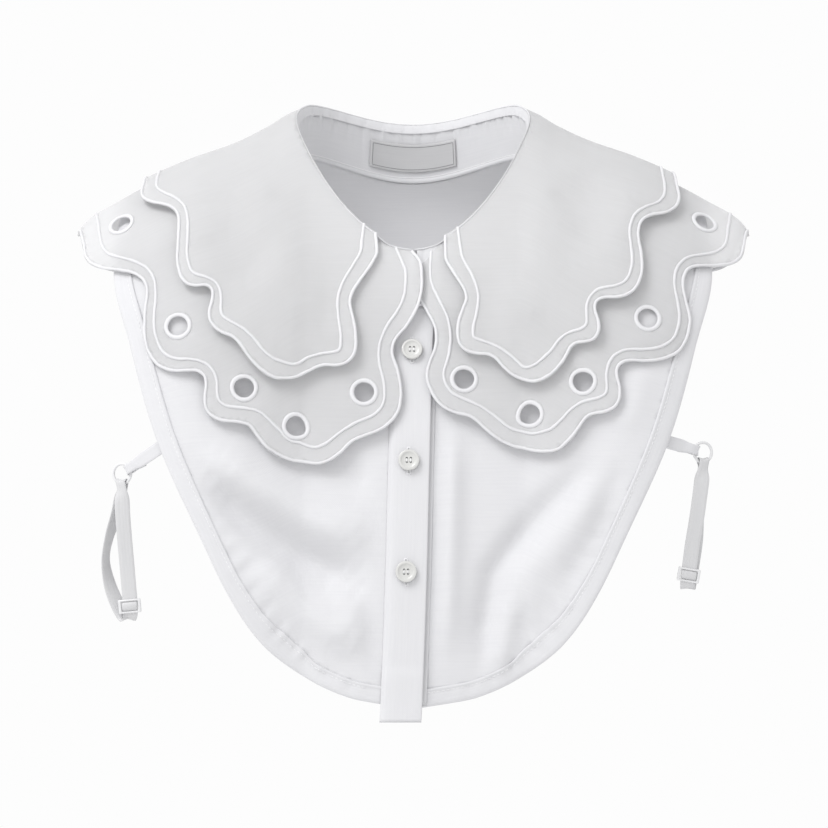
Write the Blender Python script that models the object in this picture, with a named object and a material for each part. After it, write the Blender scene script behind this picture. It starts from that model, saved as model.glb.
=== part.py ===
"""Dickey: a bib-shaped shirt front and back with a two-tier scalloped collar.

Every cloth piece is a thin wall that lies on one of two smooth forms, the bib's
and the collar's. A form is read in flat pattern coordinates: "out" runs sideways
from the centre line, and "fall" runs down from the shoulder line, negative to the
front and positive to the back. Sizes are in millimetres until a mesh is made.
+X is to the right seen from the front, the front faces -Y, and the origin is the
middle of the neck opening at the height of the collar stand's back seam.
"""
import math
from collections import namedtuple

import bmesh
import bpy
from mathutils import Vector
from mathutils.geometry import delaunay_2d_cdt

MM = 0.001
SEAM_GAP = 0.3
CLOTH = 1.0
FOLD_ROUNDNESS = 110.0
FRONT_REACH = 150.0
BACK_REACH = 56.0
FORM_HALF_WIDTH = 192.0
STAND_DROP = 26.0
BIB_CLEARANCE = 6.0
BIB_SLIMMER = 2.5
BACK_SLIMMER = 6.0
COLLAR_NECK = (65.0, 58.5, 58.0)
BIB_NECK = (68.0, 59.5, 61.0)
NECK_STEP = 6.0
EDGE_STEP = 10.0
BEND_STEP = 0.45
LONGEST_LEG = 3.0
SLIVER_AREA = 0.05
PANEL_STEP = 15.0
HEM_WIDTH = 9.5
HEM_WALL = 1.7
HEM_STEP = 7.5
HEM_STEP_UP = 0.8
CORD_HALF_WIDTH = 1.0
CORD_EASING = 2
EDGE_CORD_WIDTH = 2.0
CORD_RISE = 0.8
EYELET_RADIUS = 5.3
EYELET_RIM = 2.4
EYELET_RISE = 0.7
EYELET_SIDES = 12
TIER_LIFT_NECK = 2.6
TIER_LIFT_EDGE = 4.6
TIER_LIFT_RUN = 40.0
TUCK = 2.9
PLACKET_HALF_WIDTH = 11.0
PLACKET_WALL = 1.4
PLACKET_LIFT = 1.6
BUTTON_RADIUS = 5.6
BUTTON_THICKNESS = 2.4
BUTTON_WELL = 3.6
BUTTON_SIDES = 20
STAND_WALL = 1.2
STAND_START = 0.082 * math.pi
STAND_RINGS = 64
STAND_TOP_INSET = 0.9
STAND_TOP_GAP = 1.4
STAND_FOOT_GAP = 0.6
LABEL_HALF_WIDTH = 24.0
LABEL_WALL = 0.6
LABEL_TOP = 0.24
LABEL_FOOT = 0.9
LABEL_RINGS = 10
STRAP_HALF_WIDTH = 4.0
STRAP_WALL = 0.8
TAB_HALF_WIDTH = 2.6
RING_RADIUS = 5.3
RING_WIRE_RADIUS = 0.8
RING_SIDES = 18
WIRE_SIDES = 8
SLIDER_HALF_WIDTH = 5.2
SLIDER_HALF_HEIGHT = 3.1
SLIDER_HALF_DEPTH = 1.5

Shoulder = namedtuple("Shoulder", "out height back")
SHOULDER_LINE = [
    Shoulder(0, 39.5, 28), Shoulder(56, 39.5, 28), Shoulder(66.5, 35.5, 25),
    Shoulder(78, 27.5, 20), Shoulder(95, 18, 14), Shoulder(122, 7.5, 8),
    Shoulder(147, -4, 5), Shoulder(163, -13, 3.5), Shoulder(176, -20.5, 2),
    Shoulder(182, -26.5, 1), Shoulder(186, -36, 0),
]

Corner = namedtuple("Corner", "out height radius")
LOWER_LEFT_FRONT = [
    Corner(-5.6, -47.7, 11), Corner(-5.6, -74.0, 18), Corner(12.3, -92.4, 6),
    Corner(-2.5, -132.7, 14), Corner(31, -142.7, 14), Corner(60, -175.5, 24),
    Corner(88.6, -133.5, 11), Corner(113.5, -132.7, 10), Corner(109.2, -106, 6),
    Corner(149, -112, 20), Corner(142, -56, 9), Corner(176.5, -50.4, 11),
]
LOWER_RIGHT_FRONT = [
    Corner(-0.5, -60.1, 16), Corner(13.9, -87.1, 7.5), Corner(5.9, -106.9, 10),
    Corner(11, -127.5, 16), Corner(31.4, -130.8, 11), Corner(66.8, -171, 18),
    Corner(92.9, -129.8, 10), Corner(114.2, -127, 10), Corner(106.4, -101, 6),
    Corner(146.5, -104.5, 20), Corner(149.3, -77.9, 11), Corner(142.3, -50.8, 8),
    Corner(177.5, -50.3, 11),
]
UPPER_LEFT_FRONT = [
    Corner(18.3, -45.5, 8), Corner(34.2, -68.2, 8), Corner(22.9, -107.1, 14),
    Corner(49, -104.5, 11), Corner(71.5, -126, 18), Corner(95.4, -90, 8),
    Corner(111.8, -84.2, 8.5), Corner(105.4, -61.3, 5), Corner(127, -65.2, 10),
    Corner(125.5, -21.5, 8), Corner(147, -18, 8),
]
UPPER_RIGHT_FRONT = [
    Corner(16.6, -47.7, 6.6), Corner(28.9, -66.6, 6), Corner(15.3, -98.5, 15),
    Corner(42.1, -98.9, 11), Corner(65.3, -132, 18), Corner(86.3, -93, 8),
    Corner(103.4, -91.2, 9), Corner(95.3, -68.9, 5), Corner(127.4, -70.4, 14),
    Corner(119.2, -27.2, 8), Corner(144.3, -22.9, 9),
]
LOWER_BACK = [
    Corner(177, -50, 11), Corner(144, -52, 8), Corner(146, -98, 14), Corner(111, -97, 6),
    Corner(104, -124, 14), Corner(62, -112, 10), Corner(42, -136, 14), Corner(14, -116, 8),
    Corner(7, -124, 8),
]
UPPER_BACK = [
    Corner(145, -20, 7), Corner(124, -19, 6.6), Corner(124, -58, 10), Corner(100, -58, 6),
    Corner(92, -84, 11), Corner(58, -75, 8), Corner(38, -95, 12), Corner(14, -80, 8),
    Corner(7, -86, 8),
]

CordInset = namedtuple("CordInset", "out inset")
LOWER_CORD_INSET = [
    CordInset(0, 9.2), CordInset(60, 9), CordInset(110, 7.2), CordInset(145, 5.9),
    CordInset(185, 10),
]
UPPER_CORD_INSET = [
    CordInset(18, 8.9), CordInset(70, 7), CordInset(108, 6.3), CordInset(125, 5.6),
    CordInset(146, 8.4),
]

Eyelet = namedtuple("Eyelet", "out height")
EYELETS_LEFT = [
    Eyelet(158, -26.5), Eyelet(125.4, -82.3), Eyelet(89.8, -115.4), Eyelet(62.2, -135.6),
    Eyelet(26.1, -117.5), Eyelet(75.7, -11.4), Eyelet(64.6, -80.6), Eyelet(110.7, -36.3),
]
EYELETS_RIGHT = [
    Eyelet(158, -25.5), Eyelet(125.4, -78.0), Eyelet(90.4, -112.2), Eyelet(62.2, -129.2),
    Eyelet(27.2, -110.6), Eyelet(77.3, -11.4), Eyelet(66.8, -77.4), Eyelet(111.3, -34.6),
]
EYELETS_BACK = [Eyelet(156, -30), Eyelet(128, -76), Eyelet(88, -100), Eyelet(42, -112)]

Side = namedtuple("Side", "height half_width")
FRONT_EDGE = [
    Side(-20, 160), Side(-52, 161.5), Side(-93, 151.5), Side(-139, 138), Side(-194, 113),
    Side(-228, 96), Side(-250, 80.5), Side(-266, 61), Side(-279, 34), Side(-285, 0),
]
BACK_EDGE = [
    Side(-20, 160), Side(-52, 159), Side(-92, 147), Side(-132, 130), Side(-172, 108),
    Side(-205, 84), Side(-226, 60), Side(-238, 34), Side(-243, 0),
]
Fold = namedtuple("Fold", "out_top height_top out_foot height_foot half_width rise")
FRONT_FOLDS = [
    Fold(-118, -118, -40, -235, 13, 2.2), Fold(-96, -165, -62, -240, 9, -1.6),
    Fold(-52, -165, -26, -250, 10, -1.8), Fold(108, -128, 34, -225, 14, 2.2),
    Fold(122, -150, 66, -250, 10, -1.8), Fold(62, -150, 38, -262, 9, -2.0),
]
Placket = namedtuple("Placket", "height out")
PLACKET_LINE = [
    Placket(-73, 0.6), Placket(-96, -0.5), Placket(-155, -2.2), Placket(-213, -3.6),
    Placket(-284, -6.2), Placket(-292, -6.6),
]
BUTTON_HEIGHTS = {"button_top": -96.2, "button_middle": -154.7, "button_bottom": -213.3}

Finish = namedtuple("Finish", "colour roughness")
FINISHES = {
    "poplin": Finish((0.84, 0.84, 0.86), 0.85),
    "organza": Finish((0.77, 0.77, 0.77), 0.6),
    "button_plastic": Finish((0.85, 0.85, 0.85), 0.25),
    "elastic": Finish((0.7, 0.7, 0.7), 0.7),
    "coated_metal": Finish((0.75, 0.75, 0.75), 0.3),
    "label_satin": Finish((0.66, 0.66, 0.66), 0.5),
}


def clear_scene():
    """Remove the objects that the scene opened with."""
    for thing in list(bpy.data.objects):
        bpy.data.objects.remove(thing, do_unlink=True)


def make_materials():
    """One plain material for each finish."""
    materials = {}
    for name, finish in FINISHES.items():
        material = bpy.data.materials.new(name)
        material.use_nodes = True
        shader = material.node_tree.nodes["Principled BSDF"]
        shader.inputs["Base Color"].default_value = (*finish.colour, 1.0)
        shader.inputs["Roughness"].default_value = finish.roughness
        shader.inputs["Metallic"].default_value = 0.0
        materials[name] = material
    return materials


def ease(amount):
    """A soft step from 0 to 1."""
    amount = min(1.0, max(0.0, amount))
    return amount * amount * (3.0 - 2.0 * amount)


def read(rows, column, at):
    """A table's column at a place along its first column, on a smooth curve through its rows."""
    places = [row[0] for row in rows]
    values = [getattr(row, column) for row in rows]
    turn = 1.0 if places[-1] > places[0] else -1.0
    places = [place * turn for place in places]
    at = at * turn
    if at <= places[0]:
        return values[0]
    if at >= places[-1]:
        return values[-1]
    last = len(places) - 1
    rates = [(values[i + 1] - values[i]) / (places[i + 1] - places[i]) for i in range(last)]
    index = max(i for i in range(last) if places[i] <= at)

    def slope(i):
        if i == 0:
            return rates[0] if column != "height" else 0.0
        if i == last:
            return rates[-1]
        product = rates[i - 1] * rates[i]
        return 2.0 * product / (rates[i - 1] + rates[i]) if product > 0.0 else 0.0

    width = places[index + 1] - places[index]
    t = (at - places[index]) / width
    return (
        values[index] * (2 * t ** 3 - 3 * t * t + 1)
        + slope(index) * width * (t ** 3 - 2 * t * t + t)
        + values[index + 1] * (3 * t * t - 2 * t ** 3)
        + slope(index + 1) * width * (t ** 3 - t * t)
    )


class Form:
    """A smooth shell over the shoulders: a rounded fold along the shoulder line that
    falls to the front and to the back, and curves away towards its sides."""

    def __init__(self, neck, is_bib):
        self.half_width, self.front_depth, self.back_depth = neck
        self.is_bib = is_bib

    def height(self, out):
        """Height of the shoulder line."""
        top = read(SHOULDER_LINE, "height", abs(out))
        if self.is_bib:
            spread = ease((abs(out) - 62.0) / 75.0)
            top -= STAND_DROP + (BIB_CLEARANCE - STAND_DROP) * spread
        return top

    def depth(self, out):
        """How far back the shoulder line lies."""
        return read(SHOULDER_LINE, "back", abs(out))

    def reach(self, out, fall):
        """How far the form swells from the shoulder line to the chest or the back."""
        full = FRONT_REACH if fall < 0.0 else BACK_REACH
        size = full * math.sqrt(max(0.03, 1.0 - (out / FORM_HALF_WIDTH) ** 2))
        if not self.is_bib:
            return size
        return size - (BIB_SLIMMER * ease(abs(out) / 120.0) if fall < 0.0 else BACK_SLIMMER)

    def place(self, out, fall):
        """The point of the form at flat pattern coordinates."""
        half = FOLD_ROUNDNESS / 2.0
        drop = math.sqrt(half * half + fall * fall) - half
        reach = self.reach(out, fall)
        swell = reach * math.sqrt(1.0 - math.exp(-FOLD_ROUNDNESS * drop / reach ** 2))
        depth = self.depth(out) + math.copysign(swell, fall)
        return Vector((out, depth, self.height(out) - drop))

    def lifted(self, out, fall, lift):
        """A point moved off the form along its outward normal."""
        small = 0.5
        across = self.place(out + small, fall) - self.place(out - small, fall)
        along = self.place(out, fall + small) - self.place(out, fall - small)
        return self.place(out, fall) + across.cross(along).normalized() * lift

    def ring(self, out, fall, radius, sides):
        """Flat points of a true circle on the form."""
        small = 0.5
        across = self.place(out + small, fall) - self.place(out - small, fall)
        along = self.place(out, fall + small) - self.place(out, fall - small)
        first = across.normalized()
        square = along - first * along.dot(first)
        skew = along.dot(first) / across.length
        points = []
        for i in range(sides):
            turn = 2.0 * math.pi * i / sides
            rise = radius * math.sin(turn) / square.length
            side = radius * math.cos(turn) / across.length - skew * rise
            points.append((out + side, fall + rise))
        return points

    def fall_at(self, out, height, side):
        """Flat coordinate of a height on the front (side -1) or the back (side 1)."""
        drop = max(0.0, self.height(out) - height)
        return side * math.sqrt(drop * drop + FOLD_ROUNDNESS * drop)

    def neck(self, angle, inset=0.0):
        """Flat point of the neck opening: angle 0 is the front, pi the back, + is right."""
        depth = self.front_depth if math.cos(angle) > 0.0 else self.back_depth
        out = (self.half_width - inset) * math.sin(angle)
        far = -(depth - inset) * math.cos(angle) - self.depth(out)
        reach = self.reach(out, far)
        drop = -(reach ** 2 / FOLD_ROUNDNESS) * math.log(1.0 - (far / reach) ** 2)
        return (out, math.copysign(math.sqrt(drop * drop + FOLD_ROUNDNESS * drop), far))

    def neck_run(self, start, end, inset=0.0, step=NECK_STEP):
        """Flat points along the neck opening between two angles."""
        count = max(2, round(abs(end - start) * self.half_width / step))
        return [self.neck(start + (end - start) * i / count, inset) for i in range(count + 1)]

    def neck_angle(self, out):
        """Angle of the front neck edge at a place sideways from the centre."""
        return math.asin(out / self.half_width)


def between(first, second, amount):
    """Point part of the way between two flat points."""
    return tuple(a + (b - a) * amount for a, b in zip(first, second))


def flowing(corners):
    """Wavy line along corners (point, radius), in flat coordinates.

    Each bend is one curve. It shares the two sides of its corner with its neighbours by
    their radii, so hardly any straight stretch is left.
    """
    points = [Vector(point) for point, radius in corners]
    last = len(points) - 1
    bends = [0.0] * len(points)
    wants = [0.0] * len(points)
    for i in range(1, last):
        bends[i] = math.pi - (points[i - 1] - points[i]).angle(points[i + 1] - points[i])
        wants[i] = corners[i][1] * math.tan(bends[i] / 2.0)
    line = [tuple(points[0])]
    for i in range(1, last):
        legs = []
        for neighbour in (i - 1, i + 1):
            side = points[neighbour] - points[i]
            share = wants[i] / (wants[i] + wants[neighbour])
            longest = wants[i] * (LONGEST_LEG if wants[neighbour] else 1.0)
            legs.append(points[i] + side * min(share * 0.98, longest / side.length))
        line += subdivided(line[-1], legs[0])
        count = max(2, round(bends[i] / BEND_STEP))
        for k in range(1, count + 1):
            t = k / count
            first, middle, second = (1.0 - t) ** 2, 2.0 * t * (1.0 - t), t * t
            line.append(tuple(legs[0] * first + points[i] * middle + legs[1] * second))
    return line + subdivided(line[-1], points[last])


def subdivided(start, end):
    """Points on from one place to another, none where they are nearly the same."""
    room = math.dist(start, end)
    if room < 1.0:
        return []
    count = max(1, round(room / EDGE_STEP))
    return [between(start, end, k / count) for k in range(1, count + 1)]


def runs(line, keep):
    """Stretches of a line whose points pass a test."""
    found = [[]]
    for point in line:
        if keep(point):
            found[-1].append(point)
        elif found[-1]:
            found.append([])
    return [run for run in found if len(run) > 2]


def offset(line, distance):
    """Line moved to its right-hand side by a distance, or by one distance for each point."""
    distances = distance if isinstance(distance, list) else [distance] * len(line)
    moved = []
    for i, (point, distance) in enumerate(zip(line, distances)):
        before = Vector(line[max(0, i - 1)])
        after = Vector(line[min(len(line) - 1, i + 1)])
        heading = (after - before).normalized()
        moved.append((point[0] + heading.y * distance, point[1] - heading.x * distance))
    return moved


def inner_cord_line(edge, rows, hand):
    """Line of a tier's inner cord, eased where the edge bends inwards."""
    insets = [-hand * read(rows, "inset", abs(out)) for out, fall in edge]
    line = offset(edge, insets)
    for _ in range(CORD_EASING):
        eased = [between(before, after, 0.5) for before, after in zip(line, line[2:])]
        eased = [between(point, middle, 0.5) for point, middle in zip(line[1:], eased)]
        line = line[:1] + eased + line[-1:]
    return line


def inside(point, loop):
    """Whether a flat point is inside a closed loop."""
    hit = False
    for i, (x1, y1) in enumerate(loop):
        x2, y2 = loop[i - 1]
        if (y1 > point[1]) != (y2 > point[1]):
            if point[0] < (x2 - x1) * (point[1] - y1) / (y2 - y1) + x1:
                hit = not hit
    return hit


def nearest(point, lines):
    """Distance from a flat point to the closest point of some lines."""
    return min(math.hypot(point[0] - q[0], point[1] - q[1]) for line in lines for q in line)


def kept_triangles(places, triangles, rings, loop, holes):
    """The triangles inside the loop and outside the holes, told apart region by region."""
    walls = {frozenset((ring[i - 1], ring[i])) for ring in rings for i in range(len(ring))}
    beside = {}
    for number, corners in enumerate(triangles):
        for i in range(3):
            edge = frozenset((corners[i - 1], corners[i]))
            if edge not in walls:
                beside.setdefault(edge, []).append(number)
    linked = [[] for _ in triangles]
    for pair in beside.values():
        if len(pair) == 2:
            linked[pair[0]].append(pair[1])
            linked[pair[1]].append(pair[0])
    kept = []
    seen = set()
    for first in range(len(triangles)):
        if first in seen:
            continue
        seen.add(first)
        region = [first]
        for number in region:
            for other in linked[number]:
                if other not in seen:
                    seen.add(other)
                    region.append(other)
        largest = max(region, key=lambda number: flat_area(places, triangles[number]))
        middle = [sum(places[i][k] for i in triangles[largest]) / 3.0 for k in (0, 1)]
        hidden = not inside(middle, loop) or any(inside(middle, hole) for hole in holes)
        if not hidden and flat_area(places, triangles[largest]) > SLIVER_AREA:
            kept += [tuple(triangles[number]) for number in region]
    return kept


def flat_area(places, corners):
    """Area of a flat triangle."""
    a, b, c = (places[i] for i in corners)
    return abs((b[0] - a[0]) * (c[1] - a[1]) - (c[0] - a[0]) * (b[1] - a[1])) / 2.0


def triangulate(loop, holes, lines, step):
    """Triangles of a flat region: points, triangles, the line that each point belongs to
    (None inside the region), and the points of the loop and of each hole in order."""
    points = []
    rank = []
    edges = []
    for number, line in enumerate([loop] + holes + lines):
        first = len(points)
        points += [tuple(point) for point in line]
        rank += [number] * len(line)
        edges += [(first + i, first + i + 1) for i in range(len(line) - 1)]
        if number <= len(holes):
            edges.append((first + len(line) - 1, first))
    drawn = [loop] + holes + lines
    low = [min(p[i] for p in loop) for i in (0, 1)]
    high = [max(p[i] for p in loop) for i in (0, 1)]
    for row in range(int((high[1] - low[1]) / step) + 1):
        for column in range(int((high[0] - low[0]) / step) + 1):
            point = (low[0] + (column + 0.5 * (row % 2)) * step, low[1] + row * step)
            blocked = not inside(point, loop) or any(inside(point, hole) for hole in holes)
            if not blocked and nearest(point, drawn) > step * 0.5:
                points.append(point)
                rank.append(None)
    result = delaunay_2d_cdt([Vector(p) for p in points], edges, [], 0, 1e-9)
    places = [tuple(p) for p in result[0]]
    ranks = [None] * len(places)
    rings = [[None] * len(line) for line in [loop] + holes]
    starts = [sum(len(line) for line in ([loop] + holes)[:i]) for i in range(1 + len(holes))]
    for index, origins in enumerate(result[3]):
        for origin in origins:
            ranks[index] = rank[origin]
            for ring, start in zip(rings, starts):
                if start <= origin < start + len(ring):
                    ring[origin - start] = index
    triangles = kept_triangles(places, result[2], rings, loop, holes)
    return places, triangles, ranks, rings


def finish_object(name, mesh_data, material, angle=50.0):
    """Make a closed body from a bmesh in millimetres."""
    for vertex in mesh_data.verts:
        vertex.co *= MM
    bmesh.ops.recalc_face_normals(mesh_data, faces=mesh_data.faces[:])
    if mesh_data.calc_volume(signed=True) < 0.0:
        bmesh.ops.reverse_faces(mesh_data, faces=mesh_data.faces[:])
    mesh = bpy.data.meshes.new(name)
    mesh_data.to_mesh(mesh)
    mesh_data.free()
    mesh.shade_smooth()
    mesh.set_sharp_from_angle(angle=math.radians(angle))
    mesh.materials.append(material)
    thing = bpy.data.objects.new(name, mesh)
    bpy.context.scene.collection.objects.link(thing)
    return thing


def cloth_panel(name, material, surface, loop, holes=(), lines=(), rises=(),
                step=PANEL_STEP, wall=CLOTH):
    """A wall of cloth on a surface: its outer points carry the rises, its inside is plain.

    surface(out, fall, lift) gives a point; rises has a height for the loop, for each
    hole and for each line, in that order.
    """
    holes = [list(hole) for hole in holes]
    lines = [list(line) for line in lines]
    rises = list(rises) or [0.0] * (1 + len(holes) + len(lines))
    outer = triangulate(loop, holes, lines, step)
    inner = triangulate(loop, holes, [], step)
    made = bmesh.new()
    borders = []
    for (places, triangles, ranks, rings), is_outer in ((outer, True), (inner, False)):
        corners = []
        for place, rank in zip(places, ranks):
            rise = rises[rank] if is_outer and rank is not None else 0.0
            corners.append(made.verts.new(surface(*place, rise if is_outer else -wall)))
        for a, b, c in triangles:
            turned = (a, b, c) if is_outer else (a, c, b)
            made.faces.new([corners[i] for i in turned])
        borders.append([[corners[i] for i in ring] for ring in rings])
    for over, under in zip(*borders):
        for i, corner in enumerate(over):
            made.faces.new((over[i - 1], corner, under[i], under[i - 1]))
    spare = [v for v in made.verts if not v.link_faces]
    bmesh.ops.delete(made, geom=spare, context="VERTS")
    bmesh.ops.triangulate(made, faces=made.faces[:])
    return finish_object(name, made, material)


def swept(name, material, rings, closed=False, angle=50.0):
    """A body swept through rings of equal length, capped unless it closes on itself."""
    made = bmesh.new()
    loops = [[made.verts.new(point) for point in ring] for ring in rings]
    count = len(loops)
    for i in range(count if closed else count - 1):
        first, second = loops[i], loops[(i + 1) % count]
        for k in range(len(first)):
            made.faces.new((first[k - 1], first[k], second[k], second[k - 1]))
    if not closed:
        made.faces.new(loops[0])
        made.faces.new(loops[-1])
    return finish_object(name, made, material, angle)


def circle(middle, radius, sides):
    """Points round a circle in flat coordinates."""
    return [(middle[0] + radius * math.cos(2 * math.pi * i / sides),
             middle[1] + radius * math.sin(2 * math.pi * i / sides)) for i in range(sides)]


COLLAR = Form(COLLAR_NECK, False)
BIB = Form(BIB_NECK, True)


def fold_rise(out, height):
    """Swell of the largest drape folds of the fronts, fading out at their edges."""
    rise = 0.0
    for fold in FRONT_FOLDS:
        top = Vector((fold.out_top, fold.height_top))
        run = Vector((fold.out_foot, fold.height_foot)) - top
        along = (Vector((out, height)) - top).dot(run) / run.length_squared
        nearby = top + run * min(1.0, max(0.0, along))
        away = (Vector((out, height)) - nearby).length / fold.half_width
        ends = ease(min(along + 0.25, 1.25 - along) / 0.5)
        rise += fold.rise * math.exp(-away * away) * ends
    return rise


def bib_surface(out, fall, lift):
    """Point on the bib's form, with the fronts' folds away from edges and placket."""
    height = BIB.height(out) - (math.hypot(FOLD_ROUNDNESS / 2.0, fall) - FOLD_ROUNDNESS / 2.0)
    rise = 0.0
    if fall < 0.0 and height < -95.0:
        edge = read(FRONT_EDGE, "half_width", height) - HEM_WIDTH - abs(out)
        centre = abs(out - read(PLACKET_LINE, "out", height)) - PLACKET_HALF_WIDTH - 3.0
        rise = fold_rise(out, height) * ease(edge / 22.0) * ease(centre / 16.0)
    return BIB.lifted(out, fall, lift + rise)


def bib_edges(rows, side, hand, insets, limit=None):
    """Lines along the bib's edge from one shoulder, at some distances inside the edge.

    They run over the centre to the other shoulder, or end at a place near the centre.
    """
    half = [(rows[0].half_width, 0.0), (rows[0].half_width, side * 24.0)]
    lowest = rows[-1].height
    count = 44
    for i in range(count + 1):
        height = -20.0 + (lowest + 20.0) * math.sin(math.pi / 2.0 * (i / count)) ** 1.2
        out = read(rows, "half_width", height) if i < count else 0.0
        point = (out, BIB.fall_at(out, height, side))
        if math.dist(point, half[-1]) > HEM_STEP:
            half.append(point)
    half[-1] = (0.0, BIB.fall_at(0.0, lowest, side))
    full = half + [(-out, fall) for out, fall in reversed(half[:-1])]
    end = len(full) - 1
    share = 1.0
    if limit is not None:
        end = next(i for i, point in enumerate(full) if point[0] < hand * limit)
        share = (full[end - 1][0] - hand * limit) / (full[end - 1][0] - full[end][0])
    lines = []
    for inset in insets:
        moved = offset(full, -inset * side)
        moved[0] = (moved[0][0], side * SEAM_GAP / 2.0)
        moved[-1] = (moved[-1][0], side * SEAM_GAP / 2.0)
        line = moved[:end] + [between(moved[end - 1], moved[end], share)]
        if share < 0.4:
            line.pop(-2)
        lines.append([(hand * out, fall) for out, fall in line])
    return lines


def front_centre(height, hand):
    """Centre edge of a front panel, hidden below the placket."""
    return read(PLACKET_LINE, "out", height) - 8.0 + hand * SEAM_GAP / 2.0


def build_front(hand, material):
    """One front panel: neck edge, shoulder, curved side and bottom, centre edge."""
    neck = [(hand * out, fall) for out, fall in BIB.neck_run(0.01, shoulder_angle())]
    edge = bib_edges(FRONT_EDGE, -1, hand, [HEM_WIDTH + SEAM_GAP],
                     front_centre(-276.0, hand))[0]
    start = front_centre(-74.0, hand)
    top = BIB.neck(BIB.neck_angle(start))[1]
    neck = [p for p in neck if (p[0] - start) * hand > 2.5 and p[1] < -SEAM_GAP]
    shoulder_start = (neck[-1][0] + hand * 1.5, -SEAM_GAP / 2.0)
    side = [shoulder_start]
    count = 6
    for i in range(1, count):
        side.append(between(shoulder_start, edge[0], i / count))
    lowest = edge[-1][1]
    centre = []
    count = 14
    for i in range(1, count):
        fall = lowest + (top - lowest) * i / count
        height = BIB.place(start, fall).z
        centre.append((front_centre(height, hand), fall))
    loop = [(start, top)] + neck + side + edge + centre
    name = "front_left" if hand < 0 else "front_right"
    return cloth_panel(name, material, bib_surface, loop)


def shoulder_angle():
    """Neck angle where the shoulder line meets the bib's neck opening."""
    low, high = 0.3 * math.pi, 0.95 * math.pi
    for _ in range(40):
        middle = (low + high) / 2.0
        if BIB.neck(middle)[1] < 0.0:
            low = middle
        else:
            high = middle
    return low


def build_back(material):
    """The one back panel between both shoulders."""
    angle = shoulder_angle()
    neck = BIB.neck_run(angle, 2.0 * math.pi - angle)
    neck = [p for p in neck if p[1] > SEAM_GAP]
    edge = bib_edges(BACK_EDGE, 1, -1, [HEM_WIDTH + SEAM_GAP])[0]
    corner = (neck[0][0] + 1.5, SEAM_GAP / 2.0)
    count = 6
    right_shoulder = [between(edge[-1], corner, i / count) for i in range(1, count + 1)]
    left_shoulder = [(-out, fall) for out, fall in reversed(right_shoulder)]
    loop = right_shoulder + neck + left_shoulder + edge
    return cloth_panel("back_panel", material, bib_surface, loop)


def build_hem(name, rows, side, hand, limit, material):
    """A rounded band along an edge, from the shoulder line round to its end."""
    insets = (0.0, HEM_WIDTH / 2.0, HEM_WIDTH)
    rings = []
    for outer, middle, inner in zip(*bib_edges(rows, side, hand, insets, limit)):
        rings.append([
            bib_surface(*outer, -HEM_WALL * 0.75), bib_surface(*outer, -0.1),
            bib_surface(*middle, 0.5), bib_surface(*inner, 0.2),
            bib_surface(*inner, -CLOTH), bib_surface(*middle, -HEM_WALL * 0.8),
        ])
    return swept(name, material, rings)


def build_strip(name, material, start, end, sections):
    """A long strip on the front along the placket's line.

    sections has (across, under, over) rows: place across and the lifts of both faces.
    """
    rings = []
    count = 24
    for i in range(count + 1):
        height = start + (end - start) * i / count
        middle = read(PLACKET_LINE, "out", height)
        over_hem = HEM_STEP_UP * ease((-262.0 - height) / 7.0)
        under = []
        over = []
        for across, low, high in sections:
            out = middle + across
            fall = BIB.fall_at(out, height, -1)
            under.append(bib_surface(out, fall, low + over_hem))
            over.append(bib_surface(out, fall, high + over_hem))
        rings.append(over + list(reversed(under)))
    return swept(name, material, rings)


def build_placket(material):
    """Placket and the button band beneath it."""
    half = PLACKET_HALF_WIDTH
    lift = PLACKET_LIFT
    wall = PLACKET_WALL
    build_strip("placket", material, -73.0, -292.0, [
        (-half, SEAM_GAP, SEAM_GAP + wall * 0.7), (-half + 2.2, lift * 0.9, lift + wall),
        (0.0, lift + 0.1, lift + wall + 0.2), (half - 1.5, lift + 0.5, lift + wall + 0.7),
        (half, lift + 0.8, lift + wall * 0.9 + 0.8),
    ])
    build_strip("button_band", material, -74.0, -283.0, [
        (-7.4, SEAM_GAP, SEAM_GAP + 0.8), (half + 2.2, SEAM_GAP, SEAM_GAP + 0.8),
    ])


def build_button(name, height, material):
    """A dished round button that lies on the placket."""
    out = read(PLACKET_LINE, "out", height)
    fall = BIB.fall_at(out, height, -1)
    seat = bib_surface(out, fall, PLACKET_LIFT + PLACKET_WALL + SEAM_GAP + 0.35)
    normal = (bib_surface(out, fall, 5.0) - bib_surface(out, fall, 0.0)).normalized()
    side = normal.cross(Vector((0.0, 0.0, 1.0))).normalized()
    up = side.cross(normal).normalized()
    rows = [
        (BUTTON_RADIUS * 0.8, 0.0), (BUTTON_RADIUS, 0.8), (BUTTON_RADIUS, 1.7),
        (BUTTON_RADIUS * 0.88, BUTTON_THICKNESS), (BUTTON_WELL, BUTTON_THICKNESS * 0.85),
        (BUTTON_WELL * 0.85, BUTTON_THICKNESS * 0.6),
    ]
    rings = []
    for radius, rise in rows:
        ring = []
        for x, y in circle((0.0, 0.0), radius, BUTTON_SIDES):
            ring.append(seat + side * x + up * y + normal * rise)
        rings.append(ring)
    return swept(name, material, rings, angle=35.0)


def build_stand(material):
    """The upright neck band, from the bib's neck opening up to the collar's fold."""
    rings = []
    gap = SEAM_GAP + STAND_WALL / 2.0
    for i in range(STAND_RINGS + 1):
        angle = STAND_START + 2.0 * (math.pi - STAND_START) * i / STAND_RINGS
        top = COLLAR.place(*COLLAR.neck(angle, gap + STAND_TOP_INSET))
        foot = BIB.place(*BIB.neck(angle, gap))
        foot.z += STAND_FOOT_GAP
        top.z -= STAND_TOP_GAP
        outward = Vector((math.sin(angle), -math.cos(angle), 0.0)) * (STAND_WALL / 2.0)
        middle = top.lerp(foot, 0.5)
        rings.append([top + outward, middle + outward, foot + outward,
                      foot - outward, middle - outward, top - outward])
    return swept("collar_stand", material, rings)


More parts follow.
